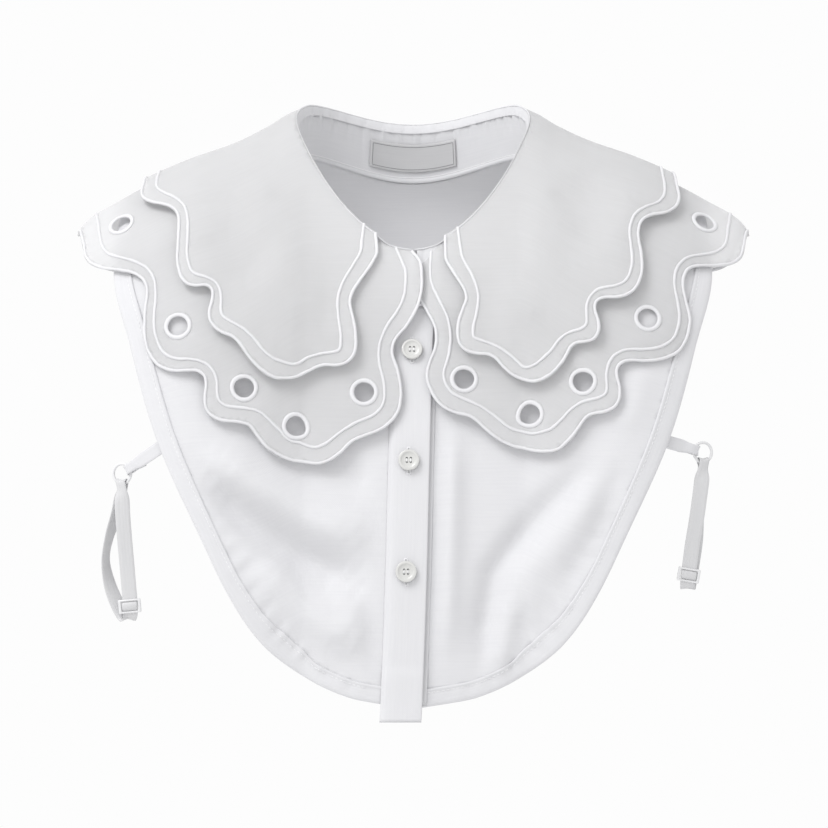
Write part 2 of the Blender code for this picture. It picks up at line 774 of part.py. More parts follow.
def build_label(material):
    """A bare woven label inside the back of the stand."""
    rings = []
    gap = SEAM_GAP + STAND_WALL + SEAM_GAP
    for i in range(LABEL_RINGS + 1):
        out = LABEL_HALF_WIDTH * (2.0 * i / LABEL_RINGS - 1.0)
        angle = math.pi + math.asin(out / COLLAR.half_width)
        top = COLLAR.place(*COLLAR.neck(angle, gap + STAND_TOP_INSET + SEAM_GAP))
        foot = BIB.place(*BIB.neck(angle, gap + SEAM_GAP))
        inward = Vector((-math.sin(angle), math.cos(angle), 0.0)) * LABEL_WALL
        upper = top.lerp(foot, LABEL_TOP)
        lower = top.lerp(foot, LABEL_FOOT)
        rings.append([upper, lower, lower + inward, upper + inward])
    return swept("neck_label", material, rings)


def tier_surface(upper, tuck):
    """Surface of a collar tier: the upper one stands off the lower, and the right halves
    tuck below the left ones where they cross at the centre."""
    def surface(out, fall, lift):
        rho = math.hypot(out / COLLAR.half_width, (fall + 45.0) / 88.0)
        away = max(0.0, rho - 1.0) * COLLAR.half_width
        stand_off = 0.0
        if upper:
            stand_off = TIER_LIFT_NECK
            stand_off += (TIER_LIFT_EDGE - TIER_LIFT_NECK) * ease(away / TIER_LIFT_RUN)
        if tuck:
            above = ease(-(fall + 104.0) / 12.0) * ease((fall + 186.0) / 14.0)
            stand_off -= TUCK * ease((15.0 - out) / 11.0) * above
        return COLLAR.lifted(out, fall, lift + stand_off)
    return surface


def tier_corners(front, back, hand, start, tip):
    """Corners of a tier's outer edge from the neck over the shoulder to the centre back."""
    corners = [(start, 0.0)]
    for row in front:
        out = hand * row.out
        corners.append(((out, COLLAR.fall_at(out, row.height, -1)), row.radius))
    corners.append(((hand * tip, 0.0), 30.0))
    for row in back:
        corners.append(((hand * row.out, COLLAR.fall_at(row.out, row.height, 1)), row.radius))
    last = back[-1].height
    corners.append(((hand * SEAM_GAP / 2.0, COLLAR.fall_at(0.0, last, 1)), 0.0))
    return corners


def build_tier(name, material, front, back, hand, start_out, tip, upper, eyelets=()):
    """One half of a collar tier with its edge cord, its inner cord and its eyelets."""
    inset = -SEAM_GAP if not upper else 2.0
    start_angle = COLLAR.neck_angle(start_out)
    turn = start_angle if hand > 0 else 2.0 * math.pi + start_angle
    neck = COLLAR.neck_run(math.pi, turn, inset)
    neck[0] = (hand * SEAM_GAP / 2.0, neck[0][1])
    edge = flowing(tier_corners(front, back, hand, neck[-1], tip))
    count = round(math.dist(edge[-1], neck[0]) / EDGE_STEP)
    centre_back = [between(edge[-1], neck[0], i / count) for i in range(1, count)]
    loop = neck[:-1] + edge + centre_back
    crest = inner_cord_line(edge, UPPER_CORD_INSET if upper else LOWER_CORD_INSET, hand)
    relief = [(offset(edge, -hand * EDGE_CORD_WIDTH), 0.0),
              (offset(crest, CORD_HALF_WIDTH), 0.0), (crest, CORD_RISE),
              (offset(crest, -CORD_HALF_WIDTH), 0.0)]
    middles = [(hand * row.out, COLLAR.fall_at(row.out, row.height, row.side))
               for row in eyelets]

    def is_clear(point):
        """Whether a cord's point is away from the neck, the centre, the edge and eyelets."""
        if not inside(point, loop) or abs(point[0]) < 1.6 or nearest(point, [neck]) < 3.0:
            return False
        if middles and nearest(point, [middles]) < EYELET_RADIUS + EYELET_RIM + 1.5:
            return False
        return nearest(point, [edge]) > EDGE_CORD_WIDTH * 0.8

    lines = []
    line_rises = []
    for line, rise in relief:
        for run in runs(line, is_clear):
            lines.append(run)
            line_rises.append(rise)
    holes = []
    for middle in middles:
        holes.append(COLLAR.ring(*middle, EYELET_RADIUS, EYELET_SIDES))
        for radius, rise in ((EYELET_RIM * 0.5, EYELET_RISE), (EYELET_RIM, 0.0)):
            ring = COLLAR.ring(*middle, EYELET_RADIUS + radius, EYELET_SIDES)
            lines.append(ring + ring[:1])
            line_rises.append(rise)
    rises = [CORD_RISE] + [EYELET_RISE * 0.5] * len(holes) + line_rises
    return cloth_panel(name, material, tier_surface(upper, hand > 0 and not upper),
                       loop, holes, lines, rises)


Band = namedtuple("Band", "out depth height twist")
Strap = namedtuple("Strap", "hand seam_out seam_height ring band slider")
LEFT_BAND = [
    Band(150.9, -73.4, -235.0, 0), Band(152.3, -73.6, -215, 4), Band(153.8, -73.7, -198, 6),
    Band(155.0, -73.7, -182, 3), Band(155.4, -73.5, -171, 0),
    Band(155.4, -70.4, -171, 0), Band(157.6, -68.2, -181, 25), Band(162.3, -66.6, -194, 55),
    Band(164.6, -66.4, -207, 62), Band(162.4, -67.4, -220, 40), Band(158.0, -69.4, -231, 16),
    Band(153.4, -71.2, -238.0, 4),
]
RIGHT_BAND = [
    Band(146.8, -73.4, -218.3, 0), Band(149.0, -73.8, -200, -4), Band(151.6, -74.0, -184, -5),
    Band(153.8, -73.8, -168, -3), Band(154.9, -73.5, -159.5, 0),
    Band(154.9, -70.4, -159.5, 0), Band(153.6, -68.4, -170, -22), Band(152.6, -67.2, -182, -32),
    Band(151.9, -67.0, -196, -30), Band(149.8, -68.4, -208, -18), Band(147.2, -71.2, -221.5, -4),
]
STRAPS = [
    Strap(-1, 134.6, -146.4, (155.4, -72.0, -161.2), LEFT_BAND, (151.2, -73.45, -229.6)),
    Strap(1, 134.8, -143.2, (154.9, -72.0, -149.8), RIGHT_BAND, (147.2, -73.5, -213.0)),
]


def smooth_path(points, closed, per_span):
    """Points read from a smooth curve through some points."""
    count = len(points)
    path = []
    for i in range(count if closed else count - 1):
        if closed:
            a, b, c, d = (points[(i + k) % count] for k in (-1, 0, 1, 2))
        else:
            a, b, c, d = (points[min(count - 1, max(0, i + k))] for k in (-1, 0, 1, 2))
        for k in range(per_span):
            t = k / per_span
            path.append([
                0.5 * (2 * q + (r - p) * t + (2 * p - 5 * q + 4 * r - u) * t * t
                       + (3 * q - p - 3 * r + u) * t ** 3)
                for p, q, r, u in zip(a, b, c, d)])
    if not closed:
        path.append(list(points[-1]))
    return path


def build_strap(strap, finish):
    """Tab, ring, elastic band and slider of one side."""
    side = "left" if strap.hand < 0 else "right"
    hand = strap.hand
    middle = Vector((hand * strap.ring[0], strap.ring[1], strap.ring[2]))
    seam_out = hand * strap.seam_out
    seam_fall = BIB.fall_at(seam_out, strap.seam_height, -1)
    under = -(HEM_WALL * 0.8 + SEAM_GAP + STRAP_WALL / 2.0 + 0.35)
    seam = bib_surface(seam_out, seam_fall, under)
    reach = (seam - middle).normalized()
    face = reach.cross(Vector((0.0, 0.0, 1.0))).normalized()
    face *= -1.0 if face.y > 0.0 else 1.0
    width = face.cross(reach).normalized()
    level = Vector((0.0, 0.0, 1.0)).cross(face).normalized()
    upright = face.cross(level).normalized()
    ring = []
    for i in range(RING_SIDES):
        turn = 2.0 * math.pi * i / RING_SIDES
        outward = level * math.cos(turn) + upright * math.sin(turn)
        centre = middle + outward * RING_RADIUS
        wire = circle((0.0, 0.0), RING_WIRE_RADIUS, WIRE_SIDES)
        ring.append([centre + outward * x + face * y for x, y in wire])
    swept("ring_" + side, finish["coated_metal"], ring, closed=True, angle=80.0)

    wire = middle + reach * RING_RADIUS
    turn = RING_WIRE_RADIUS + SEAM_GAP + STRAP_WALL / 2.0 + 0.3
    start = bib_surface(seam_out - hand * 7.5, BIB.fall_at(
        seam_out - hand * 7.5, strap.seam_height + 4.5, -1), under)
    route = [start, seam, wire + reach * 8.0 + face * 0.6, wire + reach * 3.0 + face * turn]
    for degrees in (0, 45, 90, 135, 180):
        bend = math.radians(degrees)
        route.append(wire + face * (turn * math.cos(bend)) - reach * (turn * math.sin(bend)))
    route += [wire + reach * 3.0 - face * turn, wire + reach * 9.0 - face * (turn - 0.35)]
    rings = []
    for i, point in enumerate(route):
        before = route[max(0, i - 1)]
        after = route[min(len(route) - 1, i + 1)]
        heading = (after - before).normalized()
        across = (width - heading * width.dot(heading)).normalized()
        outside = across.cross(heading).normalized()
        cup = ease(1.6 - (point - wire).length / 6.0)
        section = []
        for share in (-1.0, 0.0, 1.0):
            edge = TAB_HALF_WIDTH * share
            sink = RING_RADIUS - math.sqrt(RING_RADIUS ** 2 - edge ** 2)
            section.append(point + across * edge - reach * (sink * cup))
        half = outside * (STRAP_WALL / 2.0)
        rings.append([p + half for p in section] + [p - half for p in reversed(section)])
    swept("strap_tab_" + side, finish["poplin"], rings)

    rows = [(hand * row.out, row.depth, row.height, hand * -row.twist) for row in strap.band]
    top = middle - upright * RING_RADIUS
    bend_rows = []
    for degrees in (35, 90, 145):
        bend = math.radians(degrees)
        point = top + face * (turn * math.cos(bend)) + upright * (turn * math.sin(bend))
        bend_rows.append((point.x, point.y, point.z, 0.0))
    lead_in = top + face * turn
    lead_out = top - face * turn
    path = smooth_path(rows[:5] + [(lead_in.x, lead_in.y, lead_in.z, 0.0)] + bend_rows
                       + [(lead_out.x, lead_out.y, lead_out.z, 0.0)] + rows[5:], True, 2)
    rings = []
    for i, row in enumerate(path):
        point = Vector(row[:3])
        heading = (Vector(path[(i + 1) % len(path)][:3]) - Vector(path[i - 1][:3])).normalized()
        twist = math.radians(row[3])
        across = Vector((math.cos(twist), math.sin(twist), 0.0))
        cup = ease(1.6 - (point - top).length / 6.0)
        across = across.lerp(level if level.x > 0.0 else -level, cup)
        across = (across - heading * across.dot(heading)).normalized()
        outside = across.cross(heading).normalized()
        half_width = STRAP_HALF_WIDTH - 1.2 * cup
        section = []
        for share in (-1.0, 0.0, 1.0):
            edge = half_width * share
            sink = RING_RADIUS - math.sqrt(RING_RADIUS ** 2 - edge ** 2)
            section.append(point + across * edge + upright * (sink * cup))
        half = outside * (STRAP_WALL / 2.0)
        rings.append([p + half for p in section] + [p - half for p in reversed(section)])
    swept("elastic_" + side, finish["elastic"], rings, closed=True)

    centre = Vector((hand * strap.slider[0], strap.slider[1], strap.slider[2]))
    lean = (Vector(rings[1][1]) - Vector(rings[0][1])).normalized()
    across = Vector((1.0, 0.0, 0.0)) - lean * lean.x
    across.normalize()
    depth = across.cross(lean).normalized()
    rings = []
    for rise, half_width, half_depth in (
            (-SLIDER_HALF_HEIGHT, SLIDER_HALF_WIDTH, SLIDER_HALF_DEPTH),
            (SLIDER_HALF_HEIGHT, SLIDER_HALF_WIDTH, SLIDER_HALF_DEPTH),
            (SLIDER_HALF_HEIGHT, STRAP_HALF_WIDTH + 0.4, STRAP_WALL / 2.0 + 0.4),
            (-SLIDER_HALF_HEIGHT, STRAP_HALF_WIDTH + 0.4, STRAP_WALL / 2.0 + 0.4)):
        rings.append([centre + lean * rise + across * (x * half_width) + depth * (y * half_depth)
                      for x, y in ((-1, -1), (1, -1), (1, 1), (-1, 1))])
    swept("slider_" + side, finish["coated_metal"], rings, closed=True)


PlacedEyelet = namedtuple("PlacedEyelet", "out height side")


def eyelet_rows(front):
    """Eyelets of one tier half with the side that each lies on."""
    rows = [PlacedEyelet(row.out, row.height, -1) for row in front]
    return rows + [PlacedEyelet(row.out, row.height, 1) for row in EYELETS_BACK]


def main():
    """Build every piece."""
    clear_scene()
    finish = make_materials()
    poplin = finish["poplin"]
    organza = finish["organza"]
    for hand in (-1, 1):
        build_front(hand, poplin)
    build_back(poplin)
    build_hem("hem_front_left", FRONT_EDGE, -1, -1, front_centre(-280.0, -1), poplin)
    build_hem("hem_front_right", FRONT_EDGE, -1, 1, front_centre(-280.0, 1), poplin)
    build_hem("hem_back", BACK_EDGE, 1, 1, None, poplin)
    build_placket(poplin)
    build_stand(poplin)
    build_label(finish["label_satin"])
    for name, height in BUTTON_HEIGHTS.items():
        build_button(name, height, finish["button_plastic"])
    build_tier("lower_tier_left", organza, LOWER_LEFT_FRONT, LOWER_BACK, -1, -0.2, 185.0, False,
               eyelet_rows(EYELETS_LEFT))
    build_tier("lower_tier_right", organza, LOWER_RIGHT_FRONT, LOWER_BACK, 1, 0.8, 185.0, False,
               eyelet_rows(EYELETS_RIGHT))
    build_tier("upper_tier_left", organza, UPPER_LEFT_FRONT, UPPER_BACK, -1, -20.0, 145.5,
               True)
    build_tier("upper_tier_right", organza, UPPER_RIGHT_FRONT, UPPER_BACK, 1, 17.2, 141.5,
               True)
    for strap in STRAPS:
        build_strap(strap, finish)


main()
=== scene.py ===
"""Looks of a white dickey: a cotton bib with a placket, and a two-tier scalloped collar.

The cloth lies on the same two smooth forms as the part's solids, the bib's and the
collar's. Both are read in flat pattern coordinates, in millimetres: "out" runs
sideways from the centre line, and "fall" runs down from the shoulder line, negative
to the front and positive to the back. Meshes are made in metres.
"""
from __future__ import annotations

import logging
import math
from collections.abc import Callable, Sequence
from dataclasses import dataclass
from enum import Enum

import bmesh
import bpy
import numpy as np
from mathutils import Matrix, Vector
from mathutils.geometry import delaunay_2d_cdt
from mathutils.kdtree import KDTree


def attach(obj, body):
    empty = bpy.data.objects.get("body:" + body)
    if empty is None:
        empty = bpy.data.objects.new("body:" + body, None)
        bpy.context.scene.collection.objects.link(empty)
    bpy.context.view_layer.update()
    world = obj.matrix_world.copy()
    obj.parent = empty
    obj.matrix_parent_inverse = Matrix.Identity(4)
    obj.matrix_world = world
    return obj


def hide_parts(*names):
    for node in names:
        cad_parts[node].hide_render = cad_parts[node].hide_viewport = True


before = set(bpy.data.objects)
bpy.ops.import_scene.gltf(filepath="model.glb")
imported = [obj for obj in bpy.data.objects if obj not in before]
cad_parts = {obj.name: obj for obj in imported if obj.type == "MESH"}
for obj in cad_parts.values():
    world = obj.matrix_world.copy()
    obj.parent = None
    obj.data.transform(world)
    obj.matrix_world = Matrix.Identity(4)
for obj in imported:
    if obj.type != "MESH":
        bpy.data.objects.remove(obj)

LOG = logging.getLogger("dickey")
MM = 0.001
Flat = np.ndarray
Surface = Callable[[Flat, float | np.ndarray], np.ndarray]
Piece = bpy.types.Object
Mesh = bpy.types.Mesh
Material = bpy.types.Material

# Heights of the bib's shoulder, its two lowest points and, inside the placket's
# line, how far the two fronts run on; the last is half the gap at a middle seam.
SHOULDER_FOOT = -20.0
FRONT_FOOT = -285.0
BACK_FOOT = -243.0
FRONT_OVERLAP = 8.0
SEAM_GAP = 0.15

SHOULDER_OUT = (0, 56, 66.5, 78, 95, 122, 147, 163, 176, 182, 186)
SHOULDER_HEIGHT = (39.5, 39.5, 35.5, 27.5, 18, 7.5, -4, -13, -20.5, -26.5, -36)
SHOULDER_BACK = (28, 28, 25, 20, 14, 8, 5, 3.5, 2, 1, 0)
FRONT_EDGE = (
    (-20, 160), (-52, 161.5), (-93, 151.5), (-139, 138), (-194, 113),
    (-228, 96), (-250, 80.5), (-266, 61), (-279, 34), (-285, 0),
)
BACK_EDGE = (
    (-20, 160), (-52, 159), (-92, 147), (-132, 130), (-172, 108),
    (-205, 84), (-226, 60), (-238, 34), (-243, 0),
)
PLACKET_LINE = (
    (-73, 0.6), (-96, -0.5), (-155, -2.2), (-213, -3.6), (-284, -6.2), (-292, -6.6),
)
BUTTON_HEIGHTS = {"top": -96.2, "middle": -154.7, "bottom": -213.3}


def unit(vectors: np.ndarray) -> np.ndarray:
    """Vectors scaled to length one."""
    length = np.linalg.norm(vectors, axis=-1, keepdims=True)
    return vectors / np.maximum(length, 1e-9)


def ease(amount: float | np.ndarray) -> np.ndarray:
    """A soft step from 0 to 1."""
    amount = np.clip(amount, 0.0, 1.0)
    return amount * amount * (3.0 - 2.0 * amount)


def uneven(at: np.ndarray, wavelength: float, seed: float) -> np.ndarray:
    """A wandering value between about -1 and 1 along a line.

    Args:
        at: Places along the line, in millimetres.
        wavelength: Length of the longest wave, in millimetres.
        seed: Shifts the waves, so that two lines differ.

    Returns:
        One value for each place.
    """
    turn = 2.0 * math.pi / wavelength
    return (
        0.5 * np.sin(at * turn + seed * 1.7)
        + 0.3 * np.sin(at * turn * 1.83 + seed * 3.1)
        + 0.2 * np.sin(at * turn * 3.37 + seed * 5.9)
    )


def circle_turns(count: int) -> np.ndarray:
    """Angles at even steps round a circle."""
    return 2.0 * math.pi * np.arange(count) / count


class Profile:
    """A smooth curve through a table's rows, with no overshoot between them."""

    def __init__(self, places: Sequence[float], values: Sequence[float],
                 level_start: bool = False) -> None:
        """Work out the curve's slopes.

        Args:
            places: Places of the rows, rising or falling.
            values: Value at each place.
            level_start: Whether the curve starts level.
        """
        self.turn = 1.0 if places[-1] > places[0] else -1.0
        self.places = np.asarray(places, float) * self.turn
        self.values = np.asarray(values, float)
        rates = np.diff(self.values) / np.diff(self.places)
        slopes = [0.0 if level_start else rates[0]]
        for before, after in zip(rates[:-1], rates[1:]):
            product = before * after
            slopes.append(2.0 * product / (before + after) if product > 0.0 else 0.0)
        slopes.append(rates[-1])
        self.slopes = np.asarray(slopes)

    def __call__(self, at: float | np.ndarray) -> np.ndarray:
        """Value of the curve at one place or at many."""
        spot = np.clip(np.asarray(at, float) * self.turn, self.places[0], self.places[-1])
        index = np.clip(np.searchsorted(self.places, spot, "right") - 1, 0,
                        len(self.places) - 2)
        width = self.places[index + 1] - self.places[index]
        t = (spot - self.places[index]) / width
        return (
            self.values[index] * (2 * t ** 3 - 3 * t * t + 1)
            + self.slopes[index] * width * (t ** 3 - 2 * t * t + t)
            + self.values[index + 1] * (3 * t * t - 2 * t ** 3)
            + self.slopes[index + 1] * width * (t ** 3 - t * t)
        )


SHOULDER_RISE = Profile(SHOULDER_OUT, SHOULDER_HEIGHT, level_start=True)
SHOULDER_DEPTH = Profile(SHOULDER_OUT, SHOULDER_BACK)
FRONT_HALF_WIDTH = Profile(*zip(*FRONT_EDGE))
BACK_HALF_WIDTH = Profile(*zip(*BACK_EDGE))
PLACKET_OUT = Profile(*zip(*PLACKET_LINE))


class Side(Enum):
    """Side of the garment, seen from the front."""

    LEFT = -1
    RIGHT = 1

    @property
    def word(self) -> str:
        """Word for the side in a piece's name."""
        return self.name.lower()


class Layer(Enum):
    """Which of the two smooth forms a cloth piece lies on."""

    COLLAR = "collar"
    BIB = "bib"


@dataclass(frozen=True)
class GarmentForm:
    """A smooth shell over the shoulders that falls to the front and to the back."""

    layer: Layer
    neck_half_width: float
    neck_front: float
    neck_back: float
    fold_roundness: float = 110.0
    front_reach: float = 150.0
    back_reach: float = 56.0
    half_width: float = 192.0
    stand_drop: float = 26.0
    bib_clearance: float = 6.0
    bib_slimmer: float = 2.5
    back_slimmer: float = 6.0
    stand_end: float = 62.0
    stand_fade: float = 75.0

    def height(self, out: np.ndarray) -> np.ndarray:
        """Height of the shoulder line."""
        top = SHOULDER_RISE(np.abs(out))
        if self.layer is Layer.BIB:
            spread = ease((np.abs(out) - self.stand_end) / self.stand_fade)
            top = top - (self.stand_drop + (self.bib_clearance - self.stand_drop) * spread)
        return top

    def reach(self, out: np.ndarray, fall: np.ndarray) -> np.ndarray:
        """How far the form swells from the shoulder line to the chest or the back."""
        full = np.where(fall < 0.0, self.front_reach, self.back_reach)
        size = full * np.sqrt(np.maximum(0.03, 1.0 - (out / self.half_width) ** 2))
        if self.layer is Layer.COLLAR:
            return size
        slimmer = self.bib_slimmer * ease(np.abs(out) / 120.0)
        return size - np.where(fall < 0.0, slimmer, self.back_slimmer)

    def drop(self, fall: np.ndarray) -> np.ndarray:
        """How far the form has dropped at a distance from the shoulder line."""
        half = self.fold_roundness / 2.0
        return np.hypot(half, fall) - half

    def fall_of(self, drop: np.ndarray) -> np.ndarray:
        """Distance from the shoulder line at which the form has dropped so far."""
        return np.sqrt(drop * drop + self.fold_roundness * drop)

    def place(self, flat: Flat) -> np.ndarray:
        """Points of the form at flat coordinates."""
        out, fall = flat[..., 0], flat[..., 1]
        drop = self.drop(fall)
        reach = self.reach(out, fall)
        swell = reach * np.sqrt(1.0 - np.exp(-self.fold_roundness * drop / reach ** 2))
        depth = SHOULDER_DEPTH(np.abs(out)) + np.copysign(swell, fall)
        return np.stack([out, depth, self.height(out) - drop], -1)

    def slopes(self, flat: Flat, small: float = 0.5) -> tuple[np.ndarray, np.ndarray]:
        """How the form runs in one millimetre across and one along, in flat terms."""
        across = self.place(flat + (small, 0.0)) - self.place(flat - (small, 0.0))
        along = self.place(flat + (0.0, small)) - self.place(flat - (0.0, small))
        return across, along

    def normal(self, flat: Flat) -> np.ndarray:
        """Outward directions of the form at flat coordinates."""
        return unit(np.cross(*self.slopes(flat)))

    def lifted(self, flat: Flat, lift: float | np.ndarray) -> np.ndarray:
        """Points moved off the form along its outward direction."""
        return self.place(flat) + self.normal(flat) * np.asarray(lift, float)[..., None]

    def spot(self, out: float | np.ndarray, height: float | np.ndarray, side: int) -> Flat:
        """Flat coordinates of a height on the front (side -1) or the back (side 1)."""
        out = np.asarray(out, float)
        drop = np.maximum(0.0, self.height(out) - height)
        return np.stack([out, side * self.fall_of(drop)], -1)

    def height_of(self, flat: Flat) -> np.ndarray:
        """Height of the form at flat coordinates."""
        return self.height(flat[..., 0]) - self.drop(flat[..., 1])

    def neck(self, angle: float | np.ndarray, inset: float = 0.0) -> Flat:
        """Flat points of the neck opening: angle 0 is the front, pi the back, + is right."""
        angle = np.asarray(angle, float)
        depth = np.where(np.cos(angle) > 0.0, self.neck_front, self.neck_back)
        out = (self.neck_half_width - inset) * np.sin(angle)
        far = -(depth - inset) * np.cos(angle) - SHOULDER_DEPTH(np.abs(out))
        reach = self.reach(out, far)
        drop = -(reach ** 2 / self.fold_roundness) * np.log(1.0 - (far / reach) ** 2)
        return np.stack([out, np.copysign(self.fall_of(drop), far)], -1)


COLLAR = GarmentForm(Layer.COLLAR, 65.0, 58.5, 58.0)
BIB = GarmentForm(Layer.BIB, 68.0, 59.5, 61.0)


# Lines in flat coordinates

def run_length(line: np.ndarray) -> np.ndarray:
    """Distance of each point along a line."""
    steps = np.linalg.norm(np.diff(line, axis=0), axis=1)
    return np.concatenate([[0.0], np.cumsum(steps)])


def resample(line: np.ndarray, step: float) -> np.ndarray:
    """Points at even steps along a line.

    Args:
        line: Points of the line.
        step: Wanted distance between the points.

    Returns:
        The new points, with the first and last point kept.
    """
    at = run_length(line)
    places = np.linspace(0.0, at[-1], max(2, round(at[-1] / step)) + 1)
    return np.stack([np.interp(places, at, line[:, k]) for k in range(line.shape[1])], -1)


def flowing(corners: Sequence[tuple[Flat, float]], step: float,
            longest_leg: float = 3.0) -> Flat:
    """Wavy line along corners: each bend is one curve, with hardly any straight stretch.

    Args:
        corners: Point and radius of each corner.
        step: Distance between the line's points.
        longest_leg: Longest reach of a bend along a side, in shares of its own size.

    Returns:
        The line's points.
    """
    points = [np.asarray(point, float) for point, radius in corners]
    last = len(points) - 1
    wants = [0.0] * len(points)
    for i in range(1, last):
        before = unit(points[i - 1] - points[i])
        after = unit(points[i + 1] - points[i])
        bend = math.pi - math.acos(float(np.clip(before @ after, -1.0, 1.0)))
        wants[i] = corners[i][1] * math.tan(bend / 2.0)
    line = [points[0]]
    for i in range(1, last):
        legs = []
        for neighbour in (i - 1, i + 1):
            side = points[neighbour] - points[i]
            share = wants[i] / (wants[i] + wants[neighbour])
            longest = wants[i] * (longest_leg if wants[neighbour] else 1.0)
            legs.append(points[i] + side * min(share * 0.98,
                                               longest / float(np.linalg.norm(side))))
        for t in np.linspace(0.0, 1.0, 17):
            line.append(legs[0] * (1 - t) ** 2 + points[i] * 2 * t * (1 - t) + legs[1] * t * t)
    line.append(points[last])
    return resample(np.asarray(line), step)


def headings(line: np.ndarray, closed: bool = False) -> np.ndarray:
    """Direction of a line at each of its points."""
    if closed:
        return unit(np.roll(line, -1, axis=0) - np.roll(line, 1, axis=0))
    return unit(np.gradient(line, axis=0))


def offset(line: Flat, distance: float | np.ndarray) -> Flat:
    """Line moved to its right-hand side by a distance."""
    heading = headings(line)
    right = np.stack([heading[:, 1], -heading[:, 0]], -1)
    return line + right * np.asarray(distance, float).reshape(-1, 1)


def eased(line: Flat, passes: int) -> Flat:
    """Line with its sharp bends softened, and its ends kept."""
    line = line.copy()
    for _ in range(passes):
        line[1:-1] = line[1:-1] * 0.5 + (line[:-2] + line[2:]) * 0.25
    return line


def inside(points: Flat, loop: Flat) -> np.ndarray:
    """Which flat points are inside a closed loop."""
    hit = np.zeros(len(points), bool)
    x, y = points[:, 0], points[:, 1]
    for (x1, y1), (x2, y2) in zip(loop, np.roll(loop, 1, axis=0)):
        if y1 == y2:
            continue
        crossing = (y1 > y) != (y2 > y)
        hit ^= crossing & (x < (x2 - x1) * (y - y1) / (y2 - y1) + x1)
    return hit


# Meshes

def finish_mesh(name: str, mesh: Mesh, material: Material,
                nodes: Sequence[str] = ()) -> Piece:
    """Make a scene object of a finished mesh and tie it to the frame.

    Args:
        name: Name of the piece.
        mesh: Its mesh, in metres.
        material: Its material.
        nodes: The CAD nodes that it stands for.

    Returns:
        The piece.
    """
    mesh.materials.append(material)
    mesh.shade_smooth()
    piece = bpy.data.objects.new(name, mesh)
    bpy.context.scene.collection.objects.link(piece)
    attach(piece, "root")
    if nodes:
        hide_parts(*nodes)
    return piece


def select_only(piece: Piece) -> None:
    """Make a piece the one selected and active object."""
    bpy.ops.object.select_all(action="DESELECT")
    piece.select_set(True)
    bpy.context.view_layer.objects.active = piece


def apply_modifiers(piece: Piece) -> None:
    """Apply every modifier of a piece."""
    select_only(piece)
    for modifier in list(piece.modifiers):
        bpy.ops.object.modifier_apply(modifier=modifier.name)
    piece.select_set(False)


def thicken(piece: Piece, thickness: float) -> None:
    """Give an open sheet its cloth thickness, inwards from its outer face.

    Args:
        piece: The sheet.
        thickness: Thickness in millimetres.
    """
    wall = piece.modifiers.new("cloth thickness", "SOLIDIFY")
    wall.thickness = thickness * MM
    wall.offset = -1.0
    wall.use_even_offset = True
    wall.use_rim = True
    apply_modifiers(piece)


def cut_away(piece: Piece, drill: Piece) -> None:
    """Cut one object out of another and remove the cutter."""
    cut = piece.modifiers.new("cut", "BOOLEAN")
    cut.object = drill
    cut.operation = "DIFFERENCE"
    cut.solver = "EXACT"
    apply_modifiers(piece)
    bpy.data.objects.remove(drill, do_unlink=True)


def box(*lengths: float) -> Piece:
    """A box at the origin, sized in edit mode to three lengths in millimetres."""
    bpy.ops.object.select_all(action="DESELECT")
    bpy.ops.mesh.primitive_cube_add(size=1.0)
    made = bpy.context.object
    bpy.ops.object.mode_set(mode="EDIT")
    bpy.ops.mesh.select_all(action="SELECT")
    bpy.ops.transform.resize(value=[length * MM for length in lengths])
    bpy.ops.object.mode_set(mode="OBJECT")
    return made


def taken_mesh(piece: Piece) -> Mesh:
    """An object's mesh without materials; the object itself is removed."""
    mesh = piece.data.copy()
    bpy.data.objects.remove(piece, do_unlink=True)
    mesh.materials.clear()
    return mesh


def seated(spot: np.ndarray, *axes: np.ndarray | Vector) -> Matrix:
    """Placement at a spot in millimetres, with the directions of its three axes."""
    turn = Matrix([Vector(axis) for axis in axes]).transposed().to_4x4()
    return Matrix.Translation(Vector(spot * MM)) @ turn


def make_mesh(name: str, points: np.ndarray, faces: Sequence[Sequence[int]],
              uv: np.ndarray | list[tuple[float, float]], face_out: bool = False) -> Mesh:
    """A mesh with the cloth's own coordinates.

    Args:
        name: Name of the mesh.
        points: Its points, in millimetres.
        faces: Its faces, as rows of point numbers.
        uv: The cloth's own coordinates in millimetres, a pair for each face corner.
        face_out: Whether its faces are turned outwards.

    Returns:
        The mesh, in metres.
    """
    mesh = bpy.data.meshes.new(name)
    mesh.from_pydata((points.reshape(-1, 3) * MM).tolist(), [], faces)
    layer = mesh.uv_layers.new(name="cloth")
    layer.data.foreach_set("uv", (np.array(uv) * MM).astype(np.float32).ravel())
    if face_out:
        made = bmesh.new()
        made.from_mesh(mesh)
        bmesh.ops.recalc_face_normals(made, faces=made.faces[:])
        if made.calc_volume(signed=True) < 0.0:
            bmesh.ops.reverse_faces(made, faces=made.faces[:])
        made.to_mesh(mesh)
        made.free()
    return mesh


